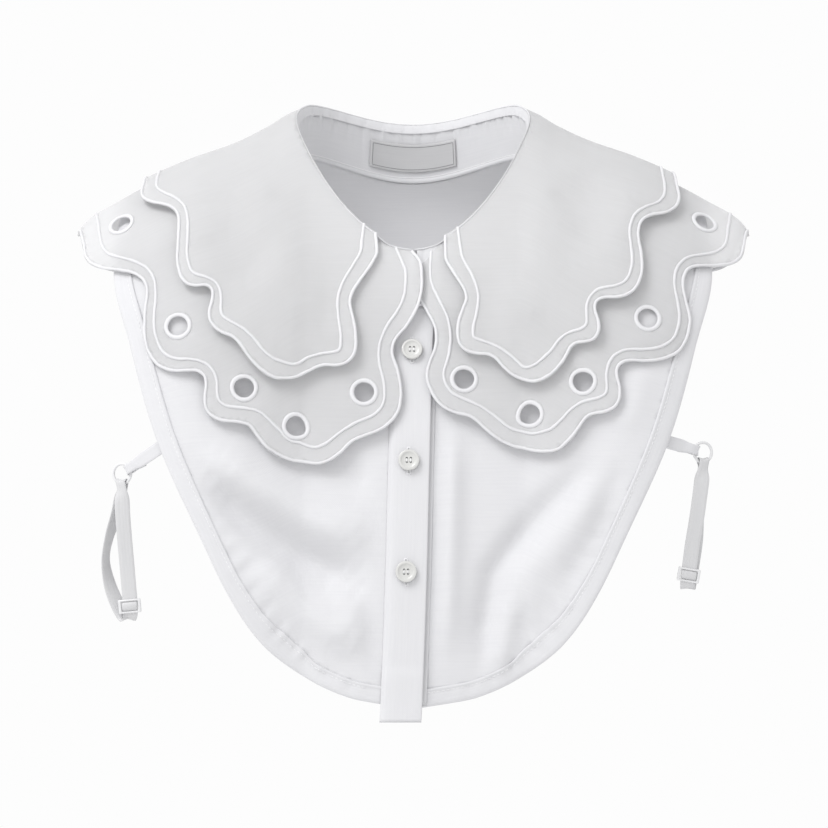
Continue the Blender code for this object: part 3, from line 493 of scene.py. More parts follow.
def quads(shape: tuple[int, int], along: np.ndarray, across: np.ndarray,
          capped: bool = False) -> tuple[list[tuple[int, ...]], list[tuple[float, float]]]:
    """Four-sided faces of a grid of points, which may close on itself both ways.

    Args:
        shape: Rows and columns of the grid.
        along: Own coordinate of each row, with one more where the rows close.
        across: Own coordinate of each column, with one more where they close.
        capped: Whether a face closes the first and the last row.

    Returns:
        The faces, and the own coordinates of their corners.
    """
    count, size = shape
    faces, uv = [], []
    for i in range(len(along) - 1):
        j = (i + 1) % count
        for k in range(len(across) - 1):
            m = (k + 1) % size
            faces.append((i * size + k, i * size + m, j * size + m, j * size + k))
            uv += [(along[i], across[k]), (along[i], across[k + 1]),
                   (along[i + 1], across[k + 1]), (along[i + 1], across[k])]
    for end in (0, count - 1) if capped else ():
        faces.append(tuple(range(end * size, (end + 1) * size)))
        uv += [(along[end], place) for place in across[:-1]]
    return faces, uv


@dataclass
class ClothSheet:
    """A sheet of cloth cut in flat coordinates and laid on a surface."""

    name: str
    surface: Surface
    loop: Flat
    holes: Sequence[Flat] = ()
    step: float = 3.0
    thickness: float = 0.5

    def triangles(self) -> tuple[Flat, np.ndarray]:
        """Cut the flat region into small even triangles.

        Returns:
            The flat points, and the triangles as rows of three indices.
        """
        rings = [self.loop, *self.holes]
        low, high = self.loop.min(0), self.loop.max(0)
        rows = np.arange(low[1], high[1], self.step * 0.866)
        columns = np.arange(low[0], high[0], self.step)
        grid = np.array([(x + (i % 2) * self.step / 2.0, y)
                         for i, y in enumerate(rows) for x in columns])
        grid = grid[inside(grid, self.loop)]
        for hole in self.holes:
            grid = grid[~inside(grid, hole)]
        border = KDTree(sum(len(ring) for ring in rings))
        for index, point in enumerate(np.concatenate(rings)):
            border.insert((*point, 0.0), index)
        border.balance()
        near = self.step * 0.55
        grid = np.array([p for p in grid if border.find((*p, 0.0))[2] > near])
        points = np.concatenate([*rings, grid])
        edges = []
        start = 0
        for ring in rings:
            edges += [(start + i, start + (i + 1) % len(ring)) for i in range(len(ring))]
            start += len(ring)
        result = delaunay_2d_cdt([Vector(p) for p in points], edges, [], 0, 1e-7)
        places = np.array([tuple(p) for p in result[0]])
        faces = np.array(result[2])
        middle = places[faces].mean(axis=1)
        keep = inside(middle, self.loop)
        for hole in self.holes:
            keep &= ~inside(middle, hole)
        return places, faces[keep]

    def build(self, material: Material, slot: str,
              nodes: Sequence[str]) -> Piece:
        """Lay the sheet on its surface and give it its thickness.

        Args:
            material: The cloth's material.
            slot: The record's material slot; not used.
            nodes: CAD nodes that the sheet stands for.

        Returns:
            The piece.
        """
        flat, faces = self.triangles()
        points = self.surface(flat, 0.0)
        first = points[faces]
        facing = np.cross(first[:, 1] - first[:, 0], first[:, 2] - first[:, 0])
        outward = self.surface(flat, 1.0) - points
        turned = np.einsum("ij,ij->i", facing, outward[faces[:, 0]]) < 0.0
        faces[turned] = faces[turned][:, ::-1]
        mesh = make_mesh(self.name, points, faces.tolist(), flat[faces].reshape(-1, 2))
        piece = finish_mesh(self.name, mesh, material, nodes)
        thicken(piece, self.thickness)
        return piece


def swept(name: str, rings: np.ndarray, material: Material,
          nodes: Sequence[str] = (), closed: bool = False) -> Piece:
    """A closed body swept through rings of points.

    Args:
        name: Name of the piece.
        rings: Points in millimetres, one row of points for each ring.
        material: Its material.
        nodes: CAD nodes that it stands for.
        closed: Whether the last ring joins the first.

    Returns:
        The piece, with its own coordinates along and around it.
    """
    count, size = rings.shape[:2]
    along = run_length(rings.mean(axis=1))
    closing = float(np.linalg.norm(rings[-1].mean(0) - rings[0].mean(0)))
    if closed:
        along = np.append(along, along[-1] + closing)
    around = run_length(np.vstack([rings[0], rings[0][:1]]))
    faces, uv = quads((count, size), along, around, not closed)
    mesh = make_mesh(name, rings, faces, uv, face_out=True)
    return finish_mesh(name, mesh, material, nodes)


def grid_sheet(name: str, points: np.ndarray, thickness: float, material: Material,
               nodes: Sequence[str] = ()) -> Piece:
    """A sheet from a grid of points, thickened away from its outer face.

    Args:
        name: Name of the piece.
        points: Points in millimetres, in rows and columns.
        thickness: Cloth thickness in millimetres.
        material: Its material.
        nodes: CAD nodes that it stands for.

    Returns:
        The piece.
    """
    count, size = points.shape[:2]
    faces, uv = quads((count, size), run_length(points[:, size // 2]),
                      run_length(points[count // 2]))
    piece = finish_mesh(name, make_mesh(name, points, faces, uv), material, nodes)
    thicken(piece, thickness)
    return piece


def frames_along(surface: Surface, line: Flat, closed: bool = False
                 ) -> tuple[np.ndarray, np.ndarray, np.ndarray]:
    """Centre, outward and sideways directions along a line on a surface.

    Args:
        surface: The surface that carries the line.
        line: Its flat points.
        closed: Whether the line closes on itself.

    Returns:
        Three arrays with a row for each point.
    """
    centre = surface(line, 0.0)
    outward = unit(surface(line, 1.0) - centre)
    return centre, outward, unit(np.cross(outward, headings(centre, closed)))


def raised(surface: Surface, by: float) -> Surface:
    """The same surface, moved outwards by some millimetres."""
    return lambda flat, lift: surface(flat, np.asarray(lift) + by)


def cord_rings(surface: Surface, line: Flat, half_width: float | np.ndarray,
               rise: float, sink: float, sides: int = 10, closed: bool = False) -> np.ndarray:
    """Rings of a flattened cord that lies along a line on a surface.

    Args:
        surface: The surface that carries it.
        line: Flat points of its centre.
        half_width: Half its width, in millimetres.
        rise: How far it stands out of the surface.
        sink: How far it goes into the surface.
        sides: Points round each ring.
        closed: Whether the line closes on itself.

    Returns:
        Points in millimetres, one row for each ring.
    """
    centre, outward, sideways = frames_along(surface, line, closed)
    turn = circle_turns(sides)
    half = np.broadcast_to(np.asarray(half_width, float), (len(line),))
    up = np.where(np.sin(turn) > 0.0, np.sin(turn) * rise, np.sin(turn) * sink)
    return (centre[:, None] + sideways[:, None] * (np.cos(turn) * half[:, None])[..., None]
            + outward[:, None] * up[None, :, None])


@dataclass
class StitchRow:
    """A row of small sewn stitches along a line on a surface."""

    name: str
    surface: Surface
    line: Flat
    pitch: float = 2.6
    length: float = 2.0
    half_width: float = 0.15
    rise: float = 0.14

    def build(self, material: Material, slot: str) -> Piece:
        """Make each stitch a short rounded thread.

        Args:
            material: The thread's material.
            slot: The record's material slot; not used.

        Returns:
            The row as one piece.
        """
        fine = resample(self.line, 0.3)
        centre, outward, sideways = frames_along(self.surface, fine)
        at = run_length(centre)
        starts = np.arange(self.pitch / 2.0, at[-1] - self.pitch, self.pitch)
        shares = np.array([0.0, 0.18, 0.82, 1.0])
        sizes = np.array([0.3, 1.0, 1.0, 0.3])
        heights = np.array([-0.15, self.rise, self.rise, -0.15])
        turn = circle_turns(6)
        points, faces, uv = [], [], []
        for start in starts:
            places = start + shares * self.length
            spots = [np.stack([np.interp(places, at, a[:, k]) for k in range(3)], -1)
                     for a in (centre, outward, sideways)]
            tube, corners = quads((4, 6), places, np.arange(7), True)
            faces += [tuple(len(points) * 6 + k for k in face) for face in tube]
            uv += corners
            for middle, up, side, height, size in zip(*spots, heights, sizes):
                points.append(middle + up * height
                              + np.outer(np.cos(turn) * self.half_width * size, side)
                              + np.outer(np.sin(turn) * self.half_width * size, up))
        mesh = make_mesh(self.name, np.concatenate(points), faces, uv, face_out=True)
        return finish_mesh(self.name, mesh, material)


# Finishes

def linear(code: str) -> tuple[float, float, float, float]:
    """Linear colour of an sRGB hex code.

    Args:
        code: Six hex digits.

    Returns:
        Red, green, blue and an alpha of 1.
    """
    values = [int(code[i:i + 2], 16) / 255.0 for i in (0, 2, 4)]
    red, green, blue = [v / 12.92 if v <= 0.04045 else ((v + 0.055) / 1.055) ** 2.4
                        for v in values]
    return red, green, blue, 1.0


def add_node(tree: bpy.types.NodeTree, kind: str, settings: dict[str, object] | None = None,
             links: dict[str | int, bpy.types.NodeSocket] | None = None) -> bpy.types.Node:
    """Add a shader node with its settings and its incoming links.

    Args:
        tree: The material's node tree.
        kind: The node's type name.
        settings: Properties, or input values where the name is an input's.
        links: Input name or number to the socket that feeds it.

    Returns:
        The new node.
    """
    node = tree.nodes.new(kind)
    for key, value in (settings or {}).items():
        if isinstance(key, int) or key in node.inputs:
            node.inputs[key].default_value = value
        else:
            setattr(node, key, value)
    for key, socket in (links or {}).items():
        tree.links.new(socket, node.inputs[key])
    return node


def new_material(name: str) -> tuple[Material, bpy.types.NodeTree, bpy.types.Node]:
    """An empty node material with its Principled shader."""
    material = bpy.data.materials.new(name)
    material.use_nodes = True
    tree = material.node_tree
    return material, tree, tree.nodes["Principled BSDF"]


def mix_colours(tree: bpy.types.NodeTree, shader: bpy.types.Node,
                share: bpy.types.NodeSocket, first: str, second: str) -> bpy.types.Node:
    """Mix two colours by a texture's value and give them to the shader."""
    colour = add_node(tree, "ShaderNodeMix", {
        "data_type": "RGBA", 6: linear(first), 7: linear(second)}, {0: share})
    tree.links.new(colour.outputs[2], shader.inputs["Base Color"])
    return colour


def add_bump(tree: bpy.types.NodeTree, shader: bpy.types.Node,
             height: bpy.types.NodeSocket, strength: float, depth_mm: float) -> None:
    """Give a texture's value to the shader as a fine relief."""
    bump = add_node(tree, "ShaderNodeBump", {
        "Strength": strength, "Distance": depth_mm * MM}, {"Height": height})
    tree.links.new(bump.outputs["Normal"], shader.inputs["Normal"])


def set_inputs(shader: bpy.types.Node, values: dict[str, float]) -> None:
    """Set some of a shader's inputs."""
    for name, value in values.items():
        shader.inputs[name].default_value = value


@dataclass(frozen=True)
class WovenFinish:
    """A plain weave: warp and weft threads that cross over and under."""

    name: str
    colour: str
    slub_colour: str
    thread_mm: float
    weave_depth_mm: float
    roughness: float
    sheen: float
    alpha: float = 1.0
    glow: float = 0.0
    rib_only: bool = False

    def build(self) -> Material:
        """Make the material on the piece's own cloth coordinates.

        Returns:
            The material.
        """
        material, tree, shader = new_material(self.name)
        cloth = add_node(tree, "ShaderNodeUVMap", {"uv_map": "cloth"})
        axes = add_node(tree, "ShaderNodeSeparateXYZ", links={0: cloth.outputs["UV"]})
        turn = math.pi / (self.thread_mm * MM)
        waves = []
        for axis in ("X", "Y"):
            scaled = add_node(tree, "ShaderNodeMath", {"operation": "MULTIPLY", 1: turn},
                              {0: axes.outputs[axis]})
            waves.append(add_node(tree, "ShaderNodeMath", {"operation": "SINE"},
                                  {0: scaled.outputs[0]}).outputs[0])
        if self.rib_only:
            weave = waves[1]
        else:
            weave = add_node(tree, "ShaderNodeMath", {"operation": "MULTIPLY"},
                             {0: waves[0], 1: waves[1]}).outputs[0]
        slub = add_node(tree, "ShaderNodeMapping", {"Scale": (40.0, 900.0, 1.0)},
                        {"Vector": cloth.outputs["UV"]})
        threads = add_node(tree, "ShaderNodeTexNoise", {"Scale": 1.0, "Detail": 2.0},
                           {"Vector": slub.outputs["Vector"]})
        colour = mix_colours(tree, shader, threads.outputs["Fac"], self.colour,
                             self.slub_colour)
        add_bump(tree, shader, weave, 0.6, self.weave_depth_mm)
        set_inputs(shader, {"Roughness": self.roughness, "Sheen Weight": self.sheen,
                            "Sheen Roughness": 0.5, "Specular IOR Level": 0.3,
                            "Alpha": self.alpha})
        if self.glow > 0.0:
            through = add_node(tree, "ShaderNodeBsdfTranslucent",
                               links={"Color": colour.outputs[2]})
            both = add_node(tree, "ShaderNodeMixShader", {0: self.glow}, {
                1: shader.outputs["BSDF"], 2: through.outputs["BSDF"]})
            tree.links.new(both.outputs["Shader"],
                           tree.nodes["Material Output"].inputs["Surface"])
        return material


@dataclass(frozen=True)
class SatinStitchFinish:
    """Close embroidery threads laid side by side across a cord, with painted shade in the grooves
    between them.
    """

    name: str
    colour: str
    painted_groove_shade: str
    thread_mm: float
    depth_mm: float
    roughness: float

    def build(self) -> Material:
        """Make the material on the cord's own coordinates.

        Returns:
            The material.
        """
        material, tree, shader = new_material(self.name)
        cloth = add_node(tree, "ShaderNodeUVMap", {"uv_map": "cloth"})
        axes = add_node(tree, "ShaderNodeSeparateXYZ", links={0: cloth.outputs["UV"]})
        wander = add_node(tree, "ShaderNodeTexNoise", {"Scale": 300.0, "Detail": 2.0},
                          {"Vector": cloth.outputs["UV"]})
        turn = 2.0 * math.pi / (self.thread_mm * MM)
        along = add_node(tree, "ShaderNodeMath", {"operation": "MULTIPLY", 1: turn},
                         {0: axes.outputs["X"]})
        shifted = add_node(tree, "ShaderNodeMath", {"operation": "MULTIPLY_ADD", 1: 5.0},
                           {0: wander.outputs["Fac"], 2: along.outputs[0]})
        wave = add_node(tree, "ShaderNodeMath", {"operation": "SINE"}, {0: shifted.outputs[0]})
        grooves = add_node(tree, "ShaderNodeMapRange", {
            "From Min": -1.0, "From Max": 1.0}, {"Value": wave.outputs[0]})
        # Painted shade: the colour darkens in the grooves between the threads.
        mix_colours(tree, shader, grooves.outputs["Result"], self.painted_groove_shade, self.colour)
        add_bump(tree, shader, grooves.outputs["Result"], 0.5, self.depth_mm)
        set_inputs(shader, {"Roughness": self.roughness, "Sheen Weight": 0.15})
        return material


@dataclass(frozen=True)
class MouldedFinish:
    """A smooth hard finish with a faint cloud in its colour."""

    name: str
    colour: str
    cloud_colour: str
    cloud_mm: float
    roughness: float
    ior: float
    coat: float = 0.0

    def build(self) -> Material:
        """Make the material on object coordinates.

        Returns:
            The material.
        """
        material, tree, shader = new_material(self.name)
        place = add_node(tree, "ShaderNodeTexCoord")
        cloud = add_node(tree, "ShaderNodeTexNoise", {
            "Scale": 1.0 / (self.cloud_mm * MM), "Detail": 3.0},
            {"Vector": place.outputs["Object"]})
        mix_colours(tree, shader, cloud.outputs["Fac"], self.colour, self.cloud_colour)
        add_bump(tree, shader, cloud.outputs["Fac"], 0.1, 0.02)
        set_inputs(shader, {"Roughness": self.roughness, "IOR": self.ior,
                            "Coat Weight": self.coat})
        return material


@dataclass(frozen=True)
class Finishes:
    """Every finish of the garment."""

    poplin: Material
    organza: Material
    satin_cord: Material
    thread: Material
    button: Material
    elastic: Material
    coated_wire: Material
    label: Material
    border: Material

    @classmethod
    def make(cls) -> Finishes:
        """Build each material once."""
        return cls(
            # Cotton poplin, plain-woven and pressed: matt, with a fine thread grain. The
            # threads are really 0.2 mm apart and drawn at 0.5 mm, so that they show.
            poplin=WovenFinish("cotton poplin", "DCDCDE", "D5D5D8", 0.5, 0.03,
                               0.82, 0.08, glow=0.14).build(),
            # Organza, a stiff sheer plain weave, drawn at 0.45 mm: a little of what
            # lies beneath shows through it.
            organza=WovenFinish("organza", "E8E8E9", "E1E1E2", 0.45, 0.03,
                                0.6, 0.1, alpha=0.62, glow=0.26).build(),
            # Satin-stitched rayon thread laid across a cord: bright, with fine grooves and
            # painted shade in them.
            satin_cord=SatinStitchFinish("satin stitch", "E0E0E2", "C4C4C7", 0.45, 0.1,
                                         0.42).build(),
            # Spun polyester sewing thread: matt and slightly brighter than the cloth, with
            # painted shade between its threads.
            thread=SatinStitchFinish("sewing thread", "F1F1F2", "E0E0E2", 0.35, 0.05,
                                     0.6).build(),
            # Moulded polyester resin: glossy, faintly cloudy.
            button=MouldedFinish("polyester resin", "C9C9C7", "C0C0BE", 3.0, 0.26,
                                 1.56, coat=0.3).build(),
            # Woven elastic: ribs along its length with a soft satin sheen.
            elastic=WovenFinish("woven elastic", "C9C9CA", "C1C1C3", 0.8, 0.03,
                                0.5, 0.2, rib_only=True).build(),
            # Steel wire dipped in nylon: smooth and evenly glossy.
            coated_wire=MouldedFinish("nylon-coated wire", "D9D9DA", "D1D1D3", 2.0, 0.32,
                                      1.53, coat=0.2).build(),
            # Woven satin label, left bare: smooth with a silky sheen.
            label=WovenFinish("woven satin", "BABABB", "B2B2B4", 0.4, 0.03,
                              0.42, 0.25).build(),
            # The label's border: grey filament yarn woven into the satin, with painted shade
            # between its threads.
            border=SatinStitchFinish("border yarn", "8C8C8E", "767678", 0.4, 0.03,
                                     0.6).build(),
        )


# The bib

@dataclass(frozen=True)
class DrapeFold:
    """A soft ridge or trough through some points of the front, given by out and height."""

    points: tuple[tuple[float, float], ...]
    half_width: float
    rise: float

    def swell(self, out: np.ndarray, height: np.ndarray) -> np.ndarray:
        """How far the cloth swells at some places.

        Args:
            out: Places sideways from the centre line.
            height: Their heights.

        Returns:
            Millimetres outwards, fading at the fold's sides and ends.
        """
        line = resample(np.array(self.points, float), 4.0)
        spots = np.stack([out, height], -1).reshape(-1, 2)
        gaps = np.linalg.norm(spots[:, None] - line[None], axis=2)
        nearest = gaps.argmin(axis=1)
        share = nearest / (len(line) - 1)
        ends = ease(share / 0.25) * ease((1.0 - share) / 0.25)
        away = gaps.min(axis=1) / self.half_width
        size = self.rise * np.exp(-away * away) * (0.15 + 0.85 * ends)
        beyond = np.exp(-np.maximum(0.0, away - 1.5))
        return (size * np.minimum(1.0, beyond)).reshape(np.shape(out))


FRONT_FOLDS = (
    DrapeFold(((-116, -146), (-86, -167), (-54, -185), (-16, -200)), 10, 5.6),
    DrapeFold(((-118, -160), (-88, -184), (-58, -206), (-20, -225)), 10, -8.0),
    DrapeFold(((-86, -206), (-58, -233), (-26, -254)), 11, 6.0),
    DrapeFold(((-46, -212), (-32, -232), (-22, -262)), 8, 2.6),
    DrapeFold(((-92, -128), (-104, -104), (-112, -90)), 11, -3.4),
    DrapeFold(((-52, -140), (-36, -158), (-20, -170)), 9, -2.6),
    DrapeFold(((98, -146), (90, -160), (71, -179), (53, -200), (43, -214), (38, -244),
               (36, -270)), 7, -5.0),
    DrapeFold(((106, -158), (84, -190), (62, -214), (56, -246)), 12, 4.2),
    DrapeFold(((18, -132), (17, -190), (14, -262)), 8, 6.0),
    DrapeFold(((52, -226), (48, -246), (46, -268)), 6, 2.4),
    DrapeFold(((114, -150), (100, -190), (78, -228)), 8, -2.6),
    DrapeFold(((124, -104), (120, -122), (110, -140)), 8, 1.4),
)
COLLAR_FOLDS = (
    DrapeFold(((-72, 8), (-66, -40), (-62, -84), (-66, -112)), 17, 1.9),
    DrapeFold(((-100, -4), (-96, -36), (-88, -66)), 13, -1.5),
    DrapeFold(((-44, -40), (-44, -66), (-50, -92)), 9, -1.2),
    DrapeFold(((66, -14), (64, -52), (62, -96)), 15, 1.7),
    DrapeFold(((92, 6), (90, -24), (84, -56)), 15, -2.1),
    DrapeFold(((42, -44), (40, -70), (44, -96)), 9, -1.2),
    DrapeFold(((118, -10), (112, -34), (106, -54)), 10, 1.3),
)


@dataclass(frozen=True)
class HemRun:
    """The stretch of the bib's edge that a hem follows, from one shoulder.

    Rows give the bib's half width at each height, and lowest is its lowest point. Side
    is -1 for the front and 1 for the back, hand -1 for the left shoulder and 1 for the
    right. It ends at the limit near the centre, or runs on to the other shoulder.
    """

    rows: Profile
    lowest: float
    side: int
    hand: int
    limit: float | None = None


@dataclass
class Bib:
    """Fronts, back and their folded hems."""

    hem_width: float = 9.5
    hem_wall: float = 1.7
    placket_half_width: float = 11.0
    tuck_under: float = 2.2
    step: float = 3.0
    cloth: float = 0.5
    pucker_rise: float = 0.95
    pucker_length: float = 13.0
    pucker_centre: float = -150.0
    back_fold_rise: float = 3.4
    back_fold_out: float = 62.0
    back_fold_half_width: float = 17.0

    def relief(self, flat: Flat) -> np.ndarray:
        """Swell of the drape folds and of the small puckers along the hem."""
        out, fall = flat[..., 0], flat[..., 1]
        height = BIB.height_of(flat)
        front = fall < 0.0
        half = np.where(front, FRONT_HALF_WIDTH(height), BACK_HALF_WIDTH(height))
        edge = half - self.hem_width - np.abs(out)
        centre = np.abs(out - PLACKET_OUT(height)) - self.placket_half_width - 2.0
        fade = ease((edge + 4.0) / 22.0) * ease(centre / 14.0) * front
        rise = sum(fold.swell(out, height) for fold in FRONT_FOLDS) * fade
        lower = ease((self.pucker_centre - height) / 60.0)
        around = np.arctan2(out, self.pucker_centre - height) * 130.0
        pucker = self.pucker_rise * uneven(around, self.pucker_length, 1.3)
        pucker = pucker * np.exp(-((edge - 4.0) / 8.0) ** 2) * lower
        rise = rise + pucker * ease((edge + 1.0) / 5.0) * ease(centre / 8.0)
        away = (np.abs(out) - self.back_fold_out + height * 0.12) / self.back_fold_half_width
        back_fold = self.back_fold_rise * np.exp(-away ** 2)
        back_fold = back_fold * ease((edge + 4.0) / 24.0) * ease((-70.0 - height) / 60.0)
        return rise + np.where(front, 0.0, back_fold)

    def surface(self, flat: Flat, lift: float | np.ndarray) -> np.ndarray:
        """Points of the bib's cloth."""
        return BIB.lifted(flat, lift + self.relief(flat))

    def edge_lines(self, run: HemRun, insets: Sequence[float]) -> list[Flat]:
        """Lines along the bib's edge from one shoulder, at some distances inside it.

        Args:
            run: The stretch of the edge.
            insets: Distances inside the edge.

        Returns:
            One line of flat points for each inset.
        """
        side, limit = run.side, run.limit
        share = np.linspace(0.0, 1.0, 150)
        height = SHOULDER_FOOT + (run.lowest - SHOULDER_FOOT) * (
            np.sin(math.pi / 2.0 * share) ** 1.2)
        out = run.rows(height)
        out[-1] = 0.0
        widest = run.rows(SHOULDER_FOOT)
        half = np.concatenate([[(widest, 0.0), (widest, side * 12.0)],
                               BIB.spot(out, height, side)])
        half = half[np.concatenate([[True], np.abs(half[1:, 1]) > 3.0])]
        other = half[-2::-1] * (-1.0, 1.0)
        full = resample(np.concatenate([half, other]), 2.5)
        if limit is not None:
            full = full[full[:, 0] > run.hand * limit]
        lines = []
        for inset in insets:
            line = offset(full, -inset * side)
            line[0, 1] = side * SEAM_GAP
            if limit is None:
                line[-1, 1] = side * SEAM_GAP
            else:
                line[-1, 0] = run.hand * limit
            lines.append(line * (run.hand, 1.0))
        return lines

    def inner_edge(self, height: float, hand: int) -> float:
        """Place across of a front's inner edge, beneath the placket."""
        return float(PLACKET_OUT(height)) - FRONT_OVERLAP + hand * SEAM_GAP

    def front_loop(self, hand: int) -> Flat:
        """Cut line of one front panel."""
        angles = np.linspace(0.02, 0.95 * math.pi, 160)
        neck = BIB.neck(angles) * (hand, 1.0)
        start = self.inner_edge(-74.0, hand)
        keep = ((neck[:, 0] - start) * hand > 0.8) & (neck[:, 1] < -SEAM_GAP)
        neck = neck[keep]
        inset = self.hem_width - self.tuck_under
        run = HemRun(FRONT_HALF_WIDTH, FRONT_FOOT, -1, hand, self.inner_edge(-276.0, hand))
        edge = self.edge_lines(run, [inset])[0]
        corner = np.array([[neck[-1, 0] + hand * 1.0, -SEAM_GAP]])
        shoulder = resample(np.concatenate([corner, edge[:1]]), 2.5)[:-1]
        first = BIB.neck(math.asin(start / BIB.neck_half_width))
        falls = np.linspace(edge[-1, 1], first[1], 90)[1:-1]
        heights = BIB.height_of(np.stack([np.full_like(falls, start), falls], -1))
        centre = np.stack([PLACKET_OUT(heights) - FRONT_OVERLAP + hand * SEAM_GAP, falls], -1)
        return np.concatenate([first[None], neck, shoulder, edge, centre])

    def back_loop(self) -> Flat:
        """Cut line of the back panel."""
        angles = np.linspace(0.3 * math.pi, 1.7 * math.pi, 320)
        neck = BIB.neck(angles)
        neck = neck[neck[:, 1] > SEAM_GAP]
        inset = self.hem_width - self.tuck_under
        edge = self.edge_lines(HemRun(BACK_HALF_WIDTH, BACK_FOOT, 1, -1), [inset])[0]
        corner = np.array([[neck[0, 0] + 1.0, SEAM_GAP]])
        right = resample(np.concatenate([edge[-1:], corner]), 2.5)[1:]
        left = right[::-1] * (-1.0, 1.0)
        return np.concatenate([right, neck, left[:-1], edge])

    def hem(self, name: str, run: HemRun, finishes: Finishes, node: str) -> Piece:
        """A folded hem band with a rounded fold at its outer edge.

        Args:
            name: Name of the piece.
            run: The stretch of the edge that it follows.
            finishes: The garment's finishes.
            node: The CAD node that it stands for.

        Returns:
            The piece.
        """
        width = self.hem_width
        section = (
            (0.0, -0.55), (0.12, -0.1), (0.7, 0.3), (2.2, 0.55), (width * 0.5, 0.6),
            (width - 2.6, 0.55), (width - 1.9, 0.62), (width - 1.2, 0.95), (width - 0.5, 1.0),
            (width - 0.1, 0.7), (width, 0.0), (width, -0.75), (width * 0.5, -1.25),
            (1.4, -1.15), (0.3, -0.95),
        )
        insets = [inset for inset, lift in section]
        lines = self.edge_lines(run, insets)
        ripple = 0.16 * uneven(run_length(lines[0]), 34.0, 2.0 + run.hand)
        rings = np.stack([self.surface(line, lift + ripple * ease(inset / 3.0))
                          for (inset, lift), line in zip(section, lines)], axis=1)
        return swept(name, rings, finishes.poplin, [node])

    def stitches(self, name: str, run: HemRun, finishes: Finishes) -> Piece:
        """The hem's row of stitches, close to its inner edge."""
        line = self.edge_lines(run, [self.hem_width - 2.2])[0]
        row = StitchRow(name, raised(self.surface, 0.52), line[3:-3])
        return row.build(finishes.thread, "poplin")

    def panel(self, words: tuple[str, str], nodes: tuple[str, str], run: HemRun,
              loop: Flat, finishes: Finishes) -> list[Piece]:
        """One panel with its hem and its stitches.

        Args:
            words: Starts of the names of its cloth and of its hem.
            nodes: CAD nodes of its cloth and of its hem.
            run: The stretch of the edge that is hemmed.
            loop: The cloth's cut line.
            finishes: The garment's finishes.

        Returns:
            The pieces, the cloth last.
        """
        hem = self.hem(f"{words[1]}_fold", run, finishes, nodes[1])
        seam = self.stitches(f"{words[1]}_stitches", run, finishes)
        sheet = ClothSheet(f"{words[0]}_cloth", self.surface, loop, (), self.step, self.cloth)
        return [hem, seam, sheet.build(finishes.poplin, "poplin", [nodes[0]])]

    def build(self, finishes: Finishes) -> list[Piece]:
        """Make every piece of the bib.

        Args:
            finishes: The garment's finishes.

        Returns:
            The pieces.
        """
        made = []
        for side in Side:
            front, hem = f"front_{side.word}", f"hem_{side.word}"
            run = HemRun(FRONT_HALF_WIDTH, FRONT_FOOT, -1, side.value,
                         self.inner_edge(-280.0, side.value))
            *trim, cloth = self.panel((front, hem), (front, f"hem_{front}"), run,
                                      self.front_loop(side.value), finishes)
            made += [*trim, cloth]
        run = HemRun(BACK_HALF_WIDTH, BACK_FOOT, 1, 1)
        *trim, cloth = self.panel(("back", "hem_back"), ("back_panel", "hem_back"), run,
                                  self.back_loop(), finishes)
        return [*made, *trim, cloth]


